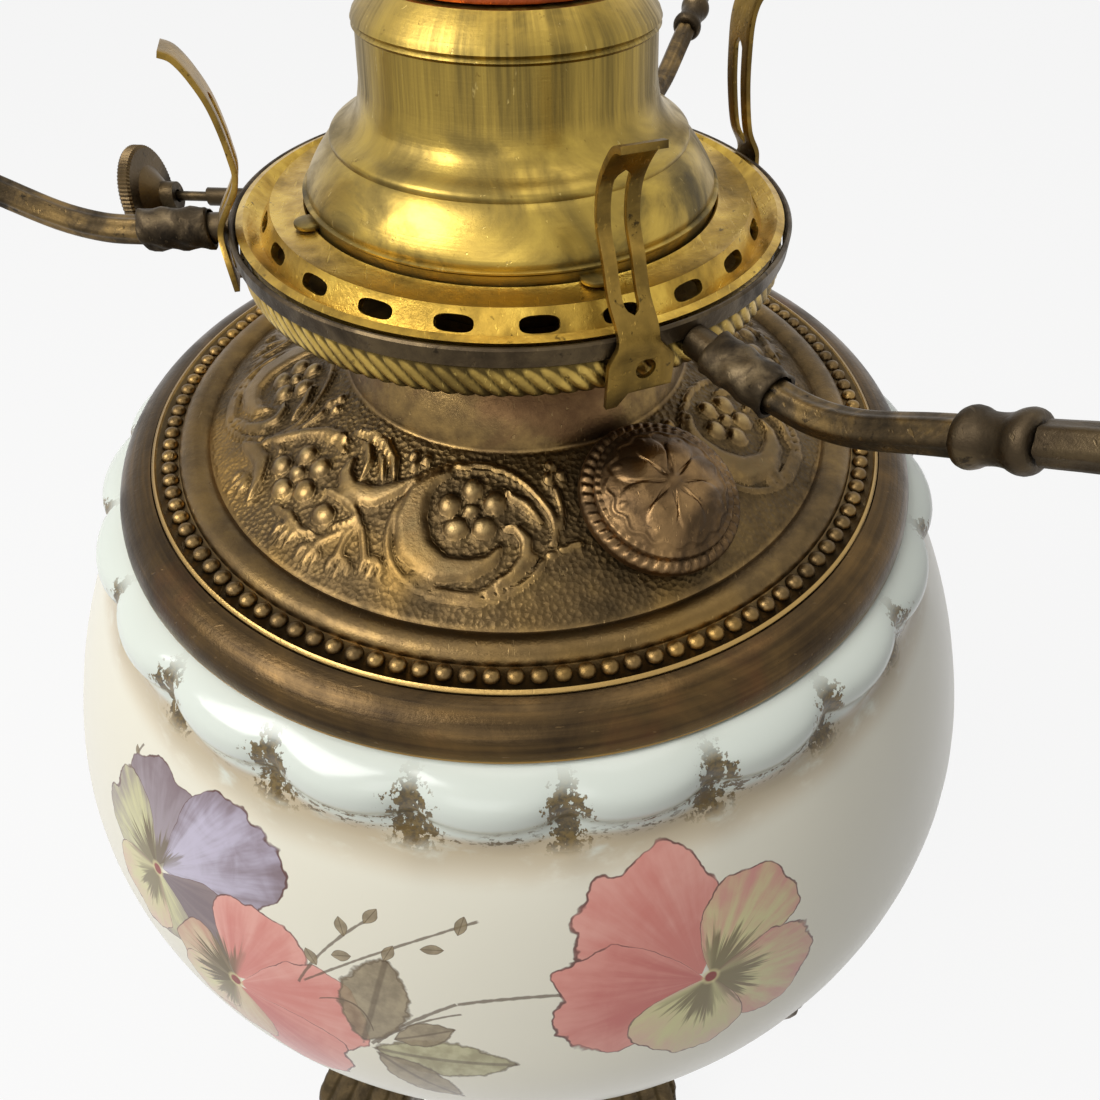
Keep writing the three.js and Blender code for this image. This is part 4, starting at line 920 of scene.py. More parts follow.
rosette_line_shares = [
    [(-0.509, 0.333), (-0.386, 0.22), (-0.228, 0.14), (-0.017, 0.102), (0.176, 0.12), (0.334, 0.2),
     (0.44, 0.316), (0.489, 0.42), (0.475, 0.526), (0.405, 0.65), (0.299, 0.77), (0.123, 0.863),
     (-0.07, 0.874), (-0.245, 0.81), (-0.368, 0.7), (-0.43, 0.56), (-0.44, 0.42), (-0.41, 0.37)],
    [(0.449, 0.614), (0.52, 0.585), (0.6, 0.575)], [(0.53, 0.24), (0.545, 0.36), (0.52, 0.46)],
    [(-0.22, 0.775), (-0.06, 0.83), (0.12, 0.815), (0.26, 0.73), (0.36, 0.62)],
]
leaf_ball_shares = [
    (-0.16, 0.57, 0.06), (-0.222, 0.46, 0.07), (-0.063, 0.46, 0.074), (-0.028, 0.614, 0.074),
    (-0.151, 0.693, 0.07), (-0.292, 0.614, 0.07), (0.183, 0.653, 0.07),
]
leaf_band_shares = [
    [(-0.565, 0.69, 0.012), (-0.495, 0.544, 0.034), (-0.389, 0.395, 0.04), (-0.266, 0.29, 0.04),
     (-0.143, 0.246, 0.034), (-0.037, 0.246, 0.012)],
    [(-0.072, 0.175, 0.018), (0.068, 0.123, 0.036), (0.227, 0.13, 0.036), (0.367, 0.193, 0.034),
     (0.464, 0.316, 0.012)],
    [(0.02, 0.2, 0.012), (0.12, 0.193, 0.028), (0.209, 0.263, 0.03), (0.235, 0.36, 0.014)],
    [(0.2, 0.18, 0.012), (0.297, 0.228, 0.028), (0.376, 0.325, 0.014)],
    [(0.095, 0.307, 0.02), (0.121, 0.395, 0.05), (0.227, 0.46, 0.07), (0.385, 0.43, 0.07),
     (0.5, 0.34, 0.05), (0.6, 0.25, 0.02)],
    [(0.06, 0.56, 0.012), (0.139, 0.52, 0.03), (0.297, 0.53, 0.034), (0.385, 0.58, 0.024),
     (0.3, 0.66, 0.02), (0.26, 0.72, 0.012)],
    [(-0.636, 0.77, 0.02), (-0.547, 0.72, 0.06), (-0.424, 0.7, 0.06), (-0.319, 0.77, 0.04),
     (-0.248, 0.877, 0.014)],
    [(-0.1, 0.79, 0.014), (0.02, 0.77, 0.034), (0.14, 0.8, 0.03), (0.28, 0.76, 0.014)],
]
leaf_line_shares = [
    [(0.402, 0.6), (0.376, 0.7), (0.394, 0.79)], [(0.429, 0.614), (0.49, 0.7), (0.52, 0.75)],
    [(0.36, 0.66), (0.3, 0.74), (0.26, 0.82)], [(-0.3, 0.34), (-0.16, 0.3), (-0.02, 0.3)],
]
bud_place_shares = [(0.429, 0.84), (0.579, 0.78), (0.253, 0.86), (0.068, 0.85), (-0.4, 0.86)]
bud_shares = [
    [(0, -0.05, 0.016), (-0.05, 0, 0.024), (-0.04, 0.08, 0.008)],
    [(0, -0.05, 0.016), (0.005, 0.02, 0.022), (0, 0.1, 0.008)],
    [(0, -0.05, 0.016), (0.05, 0, 0.024), (0.05, 0.07, 0.008)],
]
line_width_share = 0.024
full_ball_share = 0.06


def raised(height, points, stroke, top):
    """Raises points (across, outwards, in metres) under a rounded stroke with a width at each place."""
    for (x0, y0, w0), (x1, y1, w1) in zip(stroke, stroke[1:]):
        step = np.array((x1 - x0, y1 - y0))
        away = points - np.array((x0, y0))
        share = np.clip(away @ step / max(step @ step, merge_gap**2), 0, 1)
        distance = np.hypot(*(away - share[:, None] * step).T)
        width = w0 + (w1 - w0) * share
        dome_height = np.minimum(np.sqrt(np.clip(1 - (distance / width) ** 2, 0, 1)) * 1.15, 1)
        thinning = np.minimum(width / (line_width_share * field_width), 1)
        np.maximum(height, top * dome_height * thinning, out=height)


def embossed(angle, radius):
    """How high the embossing stands at each angle and radius of the field."""
    height = np.zeros(len(angle))
    middle = (fount.neck_radius + field_radius) / 2
    tall = field_width / math.cos(field_slope)
    for count in range(repeat_count):
        for start, balls, bands, lines in (
            (rosette_angle, rosette_ball_shares, rosette_band_shares, rosette_line_shares),
            (leaf_angle, leaf_ball_shares, leaf_band_shares, leaf_line_shares),
        ):
            centre = start - count * 2 * repeat_turn
            if abs(math.remainder(centre - filler_angle, math.tau)) <= repeat_turn / 2:
                continue
            turn = np.remainder(angle - centre + math.pi, math.tau) - math.pi
            close = np.abs(turn) < repeat_turn
            outwards = (radius[close] - fount.neck_radius) / math.cos(field_slope)
            points = np.stack([turn[close] * middle, outwards], 1)
            mine = np.zeros(len(points))

            def here(row):
                return (row[0] * repeat_turn * middle, row[1] * tall, *(w * tall for w in row[2:]))

            for band in bands:
                raised(mine, points, [here(row) for row in band], relief.band)
            for line in lines:
                stroke = [here((*row, line_width_share)) for row in flowing(line, 3)]
                raised(mine, points, stroke, relief.line)
            if lines is leaf_line_shares:
                for bx, by in bud_place_shares:
                    for strand in bud_shares:
                        strand_here = [here((bx + x, by + y, w)) for x, y, w in strand]
                        raised(mine, points, strand_here, relief.line)
            for ball in balls:
                x, y, w = here(ball)
                distance = np.hypot(points[:, 0] - x, points[:, 1] - y)
                mine = np.where(distance < w * 1.25, mine * 0.35, mine)
                bulb = relief.ball * np.sqrt(np.clip(1 - (distance / w) ** 2, 0, 1))
                mine = np.maximum(mine, bulb * min(w / (full_ball_share * tall), 1))
            height[close] = np.maximum(height[close], mine)
    return height


def fount_top():
    half_ridge = fount.ridge_width / 2
    ridge = arc(border_inner - half_ridge, border_top, half_ridge, fount.ridge_height, 0, 160, 9)
    field = [
        (mix(field_radius - gap, fount.neck_radius, share / 46), mix(field_low, field_high, share / 46))
        for share in range(47)
    ]
    spread = fount.neck_radius - neck_top_radius
    neck_shares = [(0.86, 0.22), (0.62, 0.5), (0.3, 0.78), (0.08, 0.94)]
    neck = flowing([
        (fount.neck_radius, field_high),
        *((neck_top_radius + r * spread, field_high + z * fount.neck_rise) for r, z in neck_shares),
        (neck_top_radius, neck_top),
    ], 3)[1:]
    rim = disc_radius - fount.wall
    top = [
        (disc_radius, fount_seat + fount.wall), (disc_radius, border_top + fount.rim_bead * 0.6),
        (disc_radius - fount.rim_bead, border_top + fount.rim_bead), (rim, border_top), *ridge, *field, *neck,
    ]
    under = [
        (neck_top_radius - fount.wall, neck_top), (fount.neck_radius - fount.wall, field_high - fount.wall),
        (field_radius - fount.wall, field_low - fount.wall), (border_inner, border_top - fount.wall),
        (rim, fount_seat),
    ]
    piece = turned("embossed_fount_top", [*top, *under], 760)
    points = points_of(piece)
    radius, angle = round_axis(points)
    surface = field_low + (field_radius - radius) * math.tan(field_slope)
    field_points = (radius < field_radius - gap) & (radius > fount.neck_radius + gap)
    field_points &= points[:, 2] > surface - gap
    height = embossed(angle[field_points], radius[field_points])
    points[field_points, 2] += height * math.cos(field_slope)
    push_points(piece, points)
    return pierced(piece, filler_cutter())


def at_filler():
    """Puts a piece drawn upright about Z where the filler stands, square to the sloping top."""
    share = (field_radius - filler.reach) / field_width
    lift = Matrix.Translation((filler.reach, 0, mix(field_low, field_high, share)))
    return Matrix.Rotation(filler_angle, 4, "Z") @ lift @ Matrix.Rotation(field_slope, 4, "Y")


def filler_cutter():
    clear_selection()
    bpy.ops.mesh.primitive_cylinder_add(vertices=48, radius=filler.radius + gap, depth=filler.cap_height)
    return placed(bpy.context.object, at_filler())


def fount_material():
    """Brown brass: painted shade in the ground of the embossing, a painted highlight in patches on what
    stands up, stippled between.
    """
    material, place = new_material("embossed_brown_brass")
    angle, radius, z = place.round_axis()
    ground = field_low + (field_radius - radius) * math.tan(field_slope)
    in_field = radius.rising(field_radius, field_radius - fount.wall) * radius.rising(
        fount.neck_radius, fount.neck_radius + fount.wall)
    proud = (z - ground) * in_field
    clouds = place.noise(48, 5, 0.6, 0.6)
    spots = place.noise(300, 4, 0.65)
    tone = clouds * 0.6 + spots * 0.4
    colour = tone.ramp((0.36, (138, 112, 68)), (0.5, (104, 84, 54)), (0.64, (66, 54, 36)))
    stipple = place.cells(1050)
    # Painted shade: the ground between the raised embossing is darkened
    ground_mask = in_field * proud.rising(relief.line * 0.5, relief.groove * 0.3)
    colour = (ground_mask * 0.6).coat(colour, (58, 47, 31))
    golden = place.noise(26, 3, 0.5).rising(0.52, 0.68)
    outer_field = radius.rising(field_radius - field_width * 0.5, field_radius - field_width * 0.2)
    colour = (golden * outer_field * 0.6).coat(colour, (156, 122, 64))
    # Painted highlight: the raised embossing is lightened in patches
    painted_relief_highlight = proud.rising(relief.line, relief.ball) * spots.rising(0.36, 0.62)
    colour = (painted_relief_highlight * 0.75).coat(colour, (176, 150, 100))
    neck = radius.rising(fount.neck_radius + fount.wall, fount.neck_radius - fount.wall)
    colour = (neck * clouds.rising(0.4, 0.6) * 0.5).coat(colour, (112, 80, 54))
    ridge_mask = (radius - (border_inner - fount.ridge_width / 2)).size().rising(
        fount.ridge_width * 0.5, fount.ridge_width * 0.3)
    colour = (ridge_mask * 0.4).coat(colour, (84, 68, 44))
    rim_mask = radius.rising(disc_radius - fount.wall, disc_radius - fount.rim_bead)
    colour = (rim_mask * 0.8).coat(colour, (178, 146, 88))
    # Painted shade: the floor of the border round the beads is darkened
    border = radius.rising(border_inner, border_inner + gap) * radius.rising(
        disc_radius - fount.rim_bead, disc_radius - fount.wall)
    on_floor = border * z.rising(border_top + fount.rim_bead, border_top + merge_gap)
    colour = (on_floor * 0.8).coat(colour, (70, 57, 37))
    scratches = place.stretched(1, 0.15, 0.4).noise(1700, 2, 0.5).rising(0.69, 0.74)
    colour = (scratches * 0.3).coat(colour, (160, 134, 90))
    roughness = 0.3 + tone.rising(0.4, 0.65) * 0.14 + ground_mask * 0.1
    grit = place.noise(1600, 3, 0.7)
    height = stipple * ground_mask * 0.9 + grit * 0.3 - scratches * 0.2
    finish(place, colour, roughness, height, deep_bump, {"Metallic": 1})
    return material


embossed_brass = fount_material()
settled(fount_top(), embossed_brass, "fount_top", smooth=70)


def bead_row():
    """A row of round beads on the fount top's border: one bead, copied round."""
    clear_selection()
    bpy.ops.mesh.primitive_uv_sphere_add(segments=12, ring_count=8, radius=fount.bead_size)
    bead = bpy.context.object
    bpy.ops.object.mode_set(mode="EDIT")
    bpy.ops.mesh.bisect(plane_co=(0, 0, 0), plane_no=(0, 0, 1), clear_inner=True, use_fill=True)
    bpy.ops.mesh.select_all(action="SELECT")
    bpy.ops.transform.resize(value=(1, 1, fount.bead_height / fount.bead_size))
    leave_edit()
    placed(bead, Matrix.Translation((fount.bead_radius, 0, border_top)))
    turns = [Matrix.Rotation(math.tau * i / bead_count, 4, "Z") for i in range(1, bead_count)]
    return joined("border_beads", [bead, *(copy_of(bead, "bead", turn) for turn in turns)])


settled(bead_row(), embossed_brass, like="fount_top", smooth=60)


# Filler cap: a domed medallion with a rope edge and a plain rosette


def filler_cap():
    ceiling = filler.neck_rise + gap + filler.gasket_height + gap
    lip = filler.stand_off + filler.cap_lip
    crown = filler.cap_height - filler.cap_lip
    shoulder = filler.cap_radius - filler.rope_width
    skirt = filler.stand_off + filler.flange_height
    edge = arc(shoulder, lip, filler.rope_width, filler.rope_width * 0.7, 0, 150, 6)
    domed = [(shoulder * math.cos(math.radians(a)) ** 0.8, lip + crown * math.sin(math.radians(a)) ** 1.25)
             for a in range(22, 90, 2)]
    outline = [
        (0, ceiling), (filler.radius + gap, ceiling), (filler.radius + filler.play, ceiling - gap),
        (filler.radius + filler.play, skirt), (filler.cap_radius, skirt), *edge, *domed, (0, lip + crown),
    ]
    piece = turned("filler_cap_medallion", outline, 288)
    points = points_of(piece)
    radius, angle = round_axis(points)
    top = points[:, 2] > ceiling
    share = radius / filler.rosette
    petals = np.abs(np.cos(4 * angle)) ** 0.55
    shape = np.clip(1 - np.abs(share - 0.52) / (0.4 * petals + 0.02), 0, 1) ** 0.5
    veins = 1 - 0.25 * np.exp(-((np.sin(4 * angle + quarter)) / 0.16) ** 2)
    inner = np.clip(1 - (share / 0.17) ** 2, 0, 1) ** 0.5
    scroll = np.clip(1 - np.abs(share - 1.02 - 0.035 * np.cos(16 * angle)) / 0.035, 0, 1) ** 0.5
    beside = np.abs(np.remainder(4 * angle + quarter, math.pi) - quarter) * 0.24
    small = np.clip(1 - np.hypot(share - 0.88, beside) / 0.09, 0, 1) ** 0.5
    height = np.maximum.reduce([shape * veins, inner, scroll * 0.6, small * 0.8]) * filler.petal_height
    points[:, 2] += np.where(top & (share < 1.2), height, 0)
    from_rope = radius - filler.cap_radius + filler.rope_width * 0.75
    rim = np.exp(-((from_rope / (filler.rope_width * 0.55)) ** 2))
    twist = np.sin(48 * angle + radius / filler.rope_width * 2.4)
    points[:, 2] += np.where(points[:, 2] > lip, filler.rope_height * rim * twist, 0)
    push_points(piece, points)
    return placed(piece, at_filler())


cap_brass = metal("cap_brass", (134, 106, 70), (102, 80, 54), (70, 55, 38), 0.27, streak=0.1, cloud=90)
settled(filler_cap(), cap_brass, "filler_cap", smooth=60)


# Gallery pan with its ring of air slots

gallery_base = burner.seat + burner.rise
gallery_top = gallery_base + burner.gallery_height


def gallery_pan():
    inner = dome.foot_radius + gap + gap / 3
    valley = gallery_top - burner.valley_depth + burner.sheet
    flange_top = gallery_top + burner.flange_rise
    out = burner.gallery_radius
    low_radius = burner.valley_radius + burner.sheet * 1.4
    ridge = mix(low_radius, out, 0.55)
    skirt_top = gallery_top - burner.rim_flare
    crest = gallery_top + burner.rim_flare / 2
    seam = burner.sheet * 0.35
    wall = [
        (out, gallery_base), (out, skirt_top), (out + burner.rim_flare, gallery_top),
        (mix(ridge, out, 0.6), crest), (ridge, gallery_top - gap),
        (mix(low_radius, ridge, 0.6), mix(valley, gallery_top, 0.3)), (low_radius, valley),
        (burner.flange_radius + seam, flange_top - seam), (burner.flange_radius, flange_top + seam),
        (burner.flange_radius - seam * 3, flange_top),
        (mix(burner.flange_radius, inner, 0.5), flange_top), (inner + seam * 3, flange_top),
        (inner + seam, flange_top + seam), (inner, flange_top),
    ]
    under = [
        (inner, flange_top - burner.sheet), (burner.flange_radius - burner.sheet, flange_top - burner.sheet),
        (low_radius - burner.sheet, valley - burner.sheet), (ridge, gallery_top - gap - burner.sheet),
        (out - burner.sheet, skirt_top), (out - burner.sheet, gallery_base),
    ]
    piece = turned("slotted_gallery", [*wall, *under], slot_count * 8)
    slope = math.atan2(flange_top - valley, low_radius - burner.flange_radius)
    halfway = (mix(burner.flange_radius, low_radius, 0.52), 0, mix(flange_top, valley, 0.52))
    middle = Matrix.Translation(halfway)
    cutters = []
    for count in range(slot_count):
        clear_selection()
        bpy.ops.mesh.primitive_cylinder_add(vertices=20, radius=1, depth=1)
        corners = points_of(bpy.context.object)
        corners[:, :2] = np.sign(corners[:, :2]) * np.abs(corners[:, :2]) ** slot.squareness
        push_points(bpy.context.object, corners)
        scale = Matrix.Diagonal((slot.width / 2, slot.length / 2, burner.sheet * 3, 1))
        turn = Matrix.Rotation(first_slot_angle + math.tau * count / slot_count, 4, "Z")
        cutters.append(placed(bpy.context.object, turn @ middle @ Matrix.Rotation(slope, 4, "Y") @ scale))
    return pierced(piece, joined("air_slots", cutters))


settled(gallery_pan(), worn_brass, "gallery_pan")


# Rope ring: slanted strands round the gallery

rope_base = gallery_base + rope.drop
rope_inner = burner.gallery_radius + gap


def rope_ring():
    outer = rope_inner + rope.thickness
    shares = [i / 8 for i in range(9)]
    side = [(outer - rope.strand * abs(2 * up - 1) ** 3, rope_base + rope.height * up) for up in shares]
    outline = [(rope_inner, rope_base), *side, (rope_inner, rope_base + rope.height)]
    piece = turned("rope_ring_strands", outline, strand_count * 8)

    def growth(angle, radius, level):
        lean = rope.lean * (level - rope_base) / rope.height / outer
        wave = np.abs(np.sin(strand_count * (angle + lean) / 2)) ** 0.8
        return np.where(radius > rope_inner + gap, rope.strand * (wave - 1), 0)

    ridged(piece, growth)
    return piece


# Painted shade: a mask that darkens the grooves between the rope's strands
def between_strands(place):
    angle, radius, z = place.round_axis()
    outer = rope_inner + rope.thickness
    return radius.rising(outer - rope.strand * 0.35, outer - rope.strand * 0.9) * 0.85


# Bright brass, with painted shade between the strands
rope_brass = metal(
    "rope_brass", (228, 198, 112), (186, 156, 80), (116, 96, 50), 0.26, streak=0.2,
    painted_recess_shade=between_strands)
settled(rope_ring(), rope_brass, "rope_ring", smooth=50)


# Stepped dome

dome_base = gallery_top + burner.flange_rise - dome.sink


def burner_dome():
    spread = dome.foot_radius - dome.neck_radius
    flare_top = dome.bulge_height + dome.flare_height
    shoulder = dome.height - dome.shoulder_height
    bulge_shares = [(0.95, 0.12), (0.81, 0.5), (0.64, 0.86), (0.545, 1)]
    flare_shares = [(0.54, 0.1), (0.46, 0.19), (0.3, 0.31), (0.14, 0.54), (0.05, 1)]
    lip = dome.bead_rise
    curve = flowing([
        (dome.foot_radius - lip, dome.step_height - lip),
        *((dome.neck_radius + r * spread, mix(dome.step_height, dome.bulge_height, z))
          for r, z in bulge_shares),
    ], 4)
    flared = flowing([
        curve[-1],
        *((dome.neck_radius + r * spread, mix(dome.bulge_height, flare_top, z)) for r, z in flare_shares),
    ], 4)[1:]
    crown = dome.neck_radius - dome.shoulder_inset
    top = flowing([
        (dome.neck_radius, shoulder + lip * 2),
        (mix(dome.neck_radius, crown, 0.45), mix(shoulder, dome.height, 0.6)), (crown, dome.height),
    ], 5)
    line = [
        (dome.foot_radius, 0), (dome.foot_radius, dome.step_height - lip * 3),
        (dome.foot_radius + lip, dome.step_height - lip * 2),
        (dome.foot_radius + lip, dome.step_height - lip * 1.4),
        (dome.foot_radius, dome.step_height - lip), *curve, *flared,
        (dome.neck_radius, shoulder - lip * 3), (dome.neck_radius + lip, shoulder - lip * 2),
        (dome.neck_radius, shoulder - lip), (dome.neck_radius + lip, shoulder),
        (dome.neck_radius + lip / 2, shoulder + lip), *top, (dome.bore_radius, dome.height),
    ]
    inside = [
        (dome.bore_radius, dome.height - dome.wall), (crown - dome.wall, dome.height - dome.wall),
        (dome.neck_radius - dome.wall, shoulder), (dome.neck_radius - dome.wall, flare_top),
        (dome.neck_radius + 0.3 * spread - dome.wall, dome.bulge_height + dome.flare_height * 0.24),
        (dome.neck_radius + 0.64 * spread, dome.bulge_height - dome.wall * 1.6),
        (dome.foot_radius - dome.wall, dome.step_height - dome.wall), (dome.foot_radius - dome.wall, 0),
    ]
    shell = turned("stepped_dome", [(r, dome_base + z) for r, z in [*line, *inside]], 144)
    ears = []
    for angle in ear_angles:
        clear_selection()
        bpy.ops.mesh.primitive_cylinder_add(vertices=24, radius=dome.ear_width / 2, depth=dome.ear_height)
        ear = rounded(bpy.context.object, dome.ear_height / 4)
        reach = dome.foot_radius + dome.ear_reach - dome.ear_width / 2
        level = dome_base + dome.sink + gap + dome.ear_height / 2
        ears.append(placed(ear, Matrix.Rotation(angle, 4, "Z") @ Matrix.Translation((reach, 0, level))))
    return joined("stepped_dome", [shell, *ears])


def dome_material():
    """Golden brass with upright tarnish, turning lines, dents and scratches."""
    material, place = new_material("streaked_brass")
    angle, radius, z = place.round_axis()
    over = z - dome_base
    wide = place.add("ShaderNodeCombineXYZ", {}, {0: angle * 5, 1: over * 14})
    panels = wide.noise(1, 3, 0.55)
    fine = place.add("ShaderNodeCombineXYZ", {}, {0: angle * 34, 1: over * 50}).noise(1, 4, 0.65)
    clouds = place.noise(75, 5, 0.6, 0.7)
    wall = over.rising(dome.bulge_height + dome.flare_height * 0.6, dome.bulge_height + dome.flare_height)
    tarnish = (panels * 0.6 + fine * 0.4) * wall + clouds * (1 - wall)
    colour = tarnish.ramp(
        (0.3, (186, 158, 74)), (0.46, (152, 128, 62)), (0.58, (118, 100, 52)),
        (0.72, (80, 68, 38)))
    gold = over.rising(dome.height - dome.shoulder_height, dome.height) + over.rising(
        dome.bulge_height, dome.step_height) * 0.7
    colour = (gold * clouds.rising(0.62, 0.4) * 0.6).coat(colour, (194, 162, 76))
    turning = place.add("ShaderNodeCombineXYZ", {}, {0: angle * 0.6, 1: over * 2600}).noise(1, 2, 0.6)
    spots = place.noise(520, 4, 0.7).rising(0.64, 0.72)
    colour = (spots * 0.6).coat(colour, (96, 74, 34))
    scratches = place.stretched(0.5, 1, 0.2).noise(1500, 3, 0.6).rising(0.67, 0.73)
    colour = (scratches * 0.3).coat(colour, (214, 190, 120))
    grit = place.noise(1700, 3, 0.7)
    dents = place.noise(120, 2, 0.5)
    roughness = 0.27 + tarnish.rising(0.4, 0.66) * 0.2 + grit * 0.06
    height = turning * 0.35 + grit * 0.35 - scratches * 0.5 + dents * 1.6
    finish(place, colour, roughness, height, fine_bump, {"Metallic": 1})
    return material


streaked_brass = dome_material()
settled(burner_dome(), streaked_brass, "burner_dome")


# Wick knob with a knurled edge


def wick_knob():
    inner = raiser.knob_reach - raiser.knob_thickness
    bore = raiser.shaft_radius + gap
    rim = raiser.knob_thickness / 6
    outline = [
        (bore, inner - raiser.hub_length), (raiser.hub_radius, inner - raiser.hub_length),
        (raiser.hub_radius, inner - raiser.knob_thickness), (raiser.knob_radius * 0.6, inner),
        (raiser.knob_radius - rim, inner), (raiser.knob_radius, inner + rim),
        (raiser.knob_radius, raiser.knob_reach - rim), (raiser.knob_radius - rim, raiser.knob_reach),
        (raiser.knob_radius * 0.84, raiser.knob_reach),
        (raiser.knob_radius * 0.78, raiser.knob_reach - rim),
        (raiser.knob_radius * 0.5, raiser.knob_reach - rim * 0.6),
        (raiser.hub_radius, raiser.knob_reach - rim * 2), (bore, raiser.knob_reach - rim * 2),
    ]
    piece = turned("knurled_knob", outline, 160)

    def growth(angle, radius, level):
        notch = np.where(np.sin(angle * 80 + quarter) > 0, 0, -raiser.knurl)
        return np.where(radius > raiser.knob_radius * 0.9, notch, 0)

    ridged(piece, growth)
    level = burner.seat + raiser.floor + raiser.height
    shaft = Matrix.Translation((0, raiser.offset, level)) @ Matrix.Rotation(-quarter, 4, "Y")
    return placed(piece, Matrix.Rotation(raiser_angle, 4, "Z") @ shaft)


knob_bronze = metal("knob_bronze", (94, 78, 54), (66, 55, 39), (42, 35, 26), 0.36, streak=0.1)
settled(wick_knob(), knob_bronze, "wick_knob", smooth=25)


# Shade tripod: band, arms and prongs

band_inner = burner.gallery_radius + burner.rim_flare + gap + gap / 3
band_radius = band_inner + tripod.band_wall
band_base = rope_base + rope.height + gap
arm_level = band_base - tripod.root_drop


def pin(name, radius, start, stop, facets):
    """A round-edged pin along +X."""
    edge = radius / 6
    outline = [
        (0, start), (radius - edge, start), (radius, start + edge), (radius, stop - edge),
        (radius - edge, stop), (0, stop),
    ]
    return placed(turned(name, outline, facets), Matrix.Rotation(quarter, 4, "Y"))


def tripod_band():
    edge = tripod.band_wall / 3
    top = band_base + tripod.band_height
    outline = [
        (band_inner, band_base), (band_radius - edge, band_base), (band_radius, band_base + edge),
        (band_radius, top - edge), (band_radius - edge, top), (band_inner + edge, top),
        (band_inner, top - edge),
    ]
    band = turned("tripod_hoop", outline, 180)
    stub_root = band_radius - tripod.band_wall / 4
    stub = pin("stub", tripod.arm_radius, stub_root, band_radius + tripod.stub_length, 24)
    lift = Matrix.Translation((0, 0, arm_level))
    stubs = [copy_of(stub, "stub", Matrix.Rotation(angle, 4, "Z") @ lift) for angle in arm_angles.values()]
    bpy.data.objects.remove(stub)
    return joined("tripod_hoop", [band, *stubs])


settled(tripod_band(), dark_bronze, "tripod_band")


def swept(name, section, path):
    """A bar of one section along a smooth path of distance and level from the lamp's axis."""
    curves = []
    for label, points, closed in ((name, path, False), ("section", section, True)):
        curve = bpy.data.curves.new(label, "CURVE")
        curve.dimensions = "3D" if label == name else "2D"
        spline = curve.splines.new("POLY")
        spline.points.add(len(points) - 1)
        for point, (x, y) in zip(spline.points, points):
            point.co = (x, 0, y, 1) if label == name else (x, y, 0, 1)
        spline.use_cyclic_u = closed
        item = bpy.data.objects.new(label, curve)
        bpy.context.scene.collection.objects.link(item)
        curves.append(item)
    bar, profile = curves
    bar.data.bevel_mode = "OBJECT"
    bar.data.bevel_object = profile
    bar.data.use_fill_caps = True
    bar.data.twist_mode = "Z_UP"
    select_only(bar)
    bpy.ops.object.convert(target="MESH")
    piece = bpy.context.object
    bpy.data.objects.remove(profile)
    edit(piece)
    bpy.ops.mesh.remove_doubles(threshold=merge_gap)
    leave_edit()
    face_outwards(piece)
    return piece


def fluted(radius, count, facets):
    steps = count * facets
    return [
        (reach * math.cos(math.tau * i / steps), reach * math.sin(math.tau * i / steps))
        for i in range(steps)
        for reach in [radius - tripod.flute * (0.5 - 0.5 * math.cos(math.tau * i / facets))]
    ]


arm_start = band_radius + tripod.stub_length + gap
ferrule_spot = (tripod.ferrule_reach, arm_level + tripod.arm_rise)
bend_span = tripod.ferrule_reach - tripod.bend_radius
ferrule_slope = math.atan2(tripod.arm_rise * 1.35, bend_span)


def beyond_ferrule(distance):
    """A point on the straight stretch through the ferrule, so far along it."""
    reach, level = ferrule_spot
    return (reach + distance * math.cos(ferrule_slope), level + distance * math.sin(ferrule_slope))


def arm_sleeve():
    start = arm_start - gap - tripod.sleeve_length * 0.3
    bore = tripod.arm_radius + gap * 1.5
    edge = tripod.solder / 3
    stop = start + tripod.sleeve_length
    outline = [
        (bore, start), (tripod.sleeve_radius - edge, start), (tripod.sleeve_radius, start + edge),
        *((tripod.sleeve_radius, mix(start, stop, i / 12)) for i in range(1, 12)),
        (tripod.sleeve_radius, stop - edge), (tripod.sleeve_radius - edge, stop), (bore, stop),
    ]
    piece = turned("arm_sleeve", outline, 40)

    def growth(angle, radius, level):
        share = (level - start) / tripod.sleeve_length
        lumps = np.sin(3 * angle + 9 * share) * np.sin(7.5 * share + 1) + 0.6 * np.sin(5 * angle - 14 * share)
        flat = 0.5 * np.cos(4 * angle)
        return np.where(radius > bore + gap, tripod.solder * 0.34 * (lumps + flat - 0.7), 0)

    ridged(piece, growth)
    return placed(piece, Matrix.Translation((0, 0, arm_level)) @ Matrix.Rotation(quarter, 4, "Y"))


def inner_arm():
    bend_shares = [(0.22, 0.06), (0.46, 0.26)]
    points = [
        (arm_start, arm_level), (mix(arm_start, tripod.bend_radius, 0.7), arm_level),
        (tripod.bend_radius, arm_level),
        *((tripod.bend_radius + x * bend_span, arm_level + z * tripod.arm_rise) for x, z in bend_shares),
        beyond_ferrule(-tripod.ferrule_length), beyond_ferrule(-tripod.ferrule_length / 2 - gap),
    ]
    return swept("fluted_arm", fluted(tripod.arm_radius, 6, 6), flowing(points, 5))


def outer_arm():
    start = beyond_ferrule(tripod.ferrule_length)
    bend_shares = [(0.3, 0.13), (0.64, 0.35), (0.93, 0.66)]
    tip_level = band_base + tripod.tip_rise
    points = [
        beyond_ferrule(tripod.ferrule_length / 2 + gap), start,
        *((mix(start[0], tripod.tip_radius, x), mix(start[1], tip_level, z)) for x, z in bend_shares),
        (tripod.tip_radius, tip_level - tripod.arm_radius * 2), (tripod.tip_radius, tip_level),
    ]
    return swept("outer_arm", fluted(tripod.arm_radius, 6, 4), flowing(points, 5))


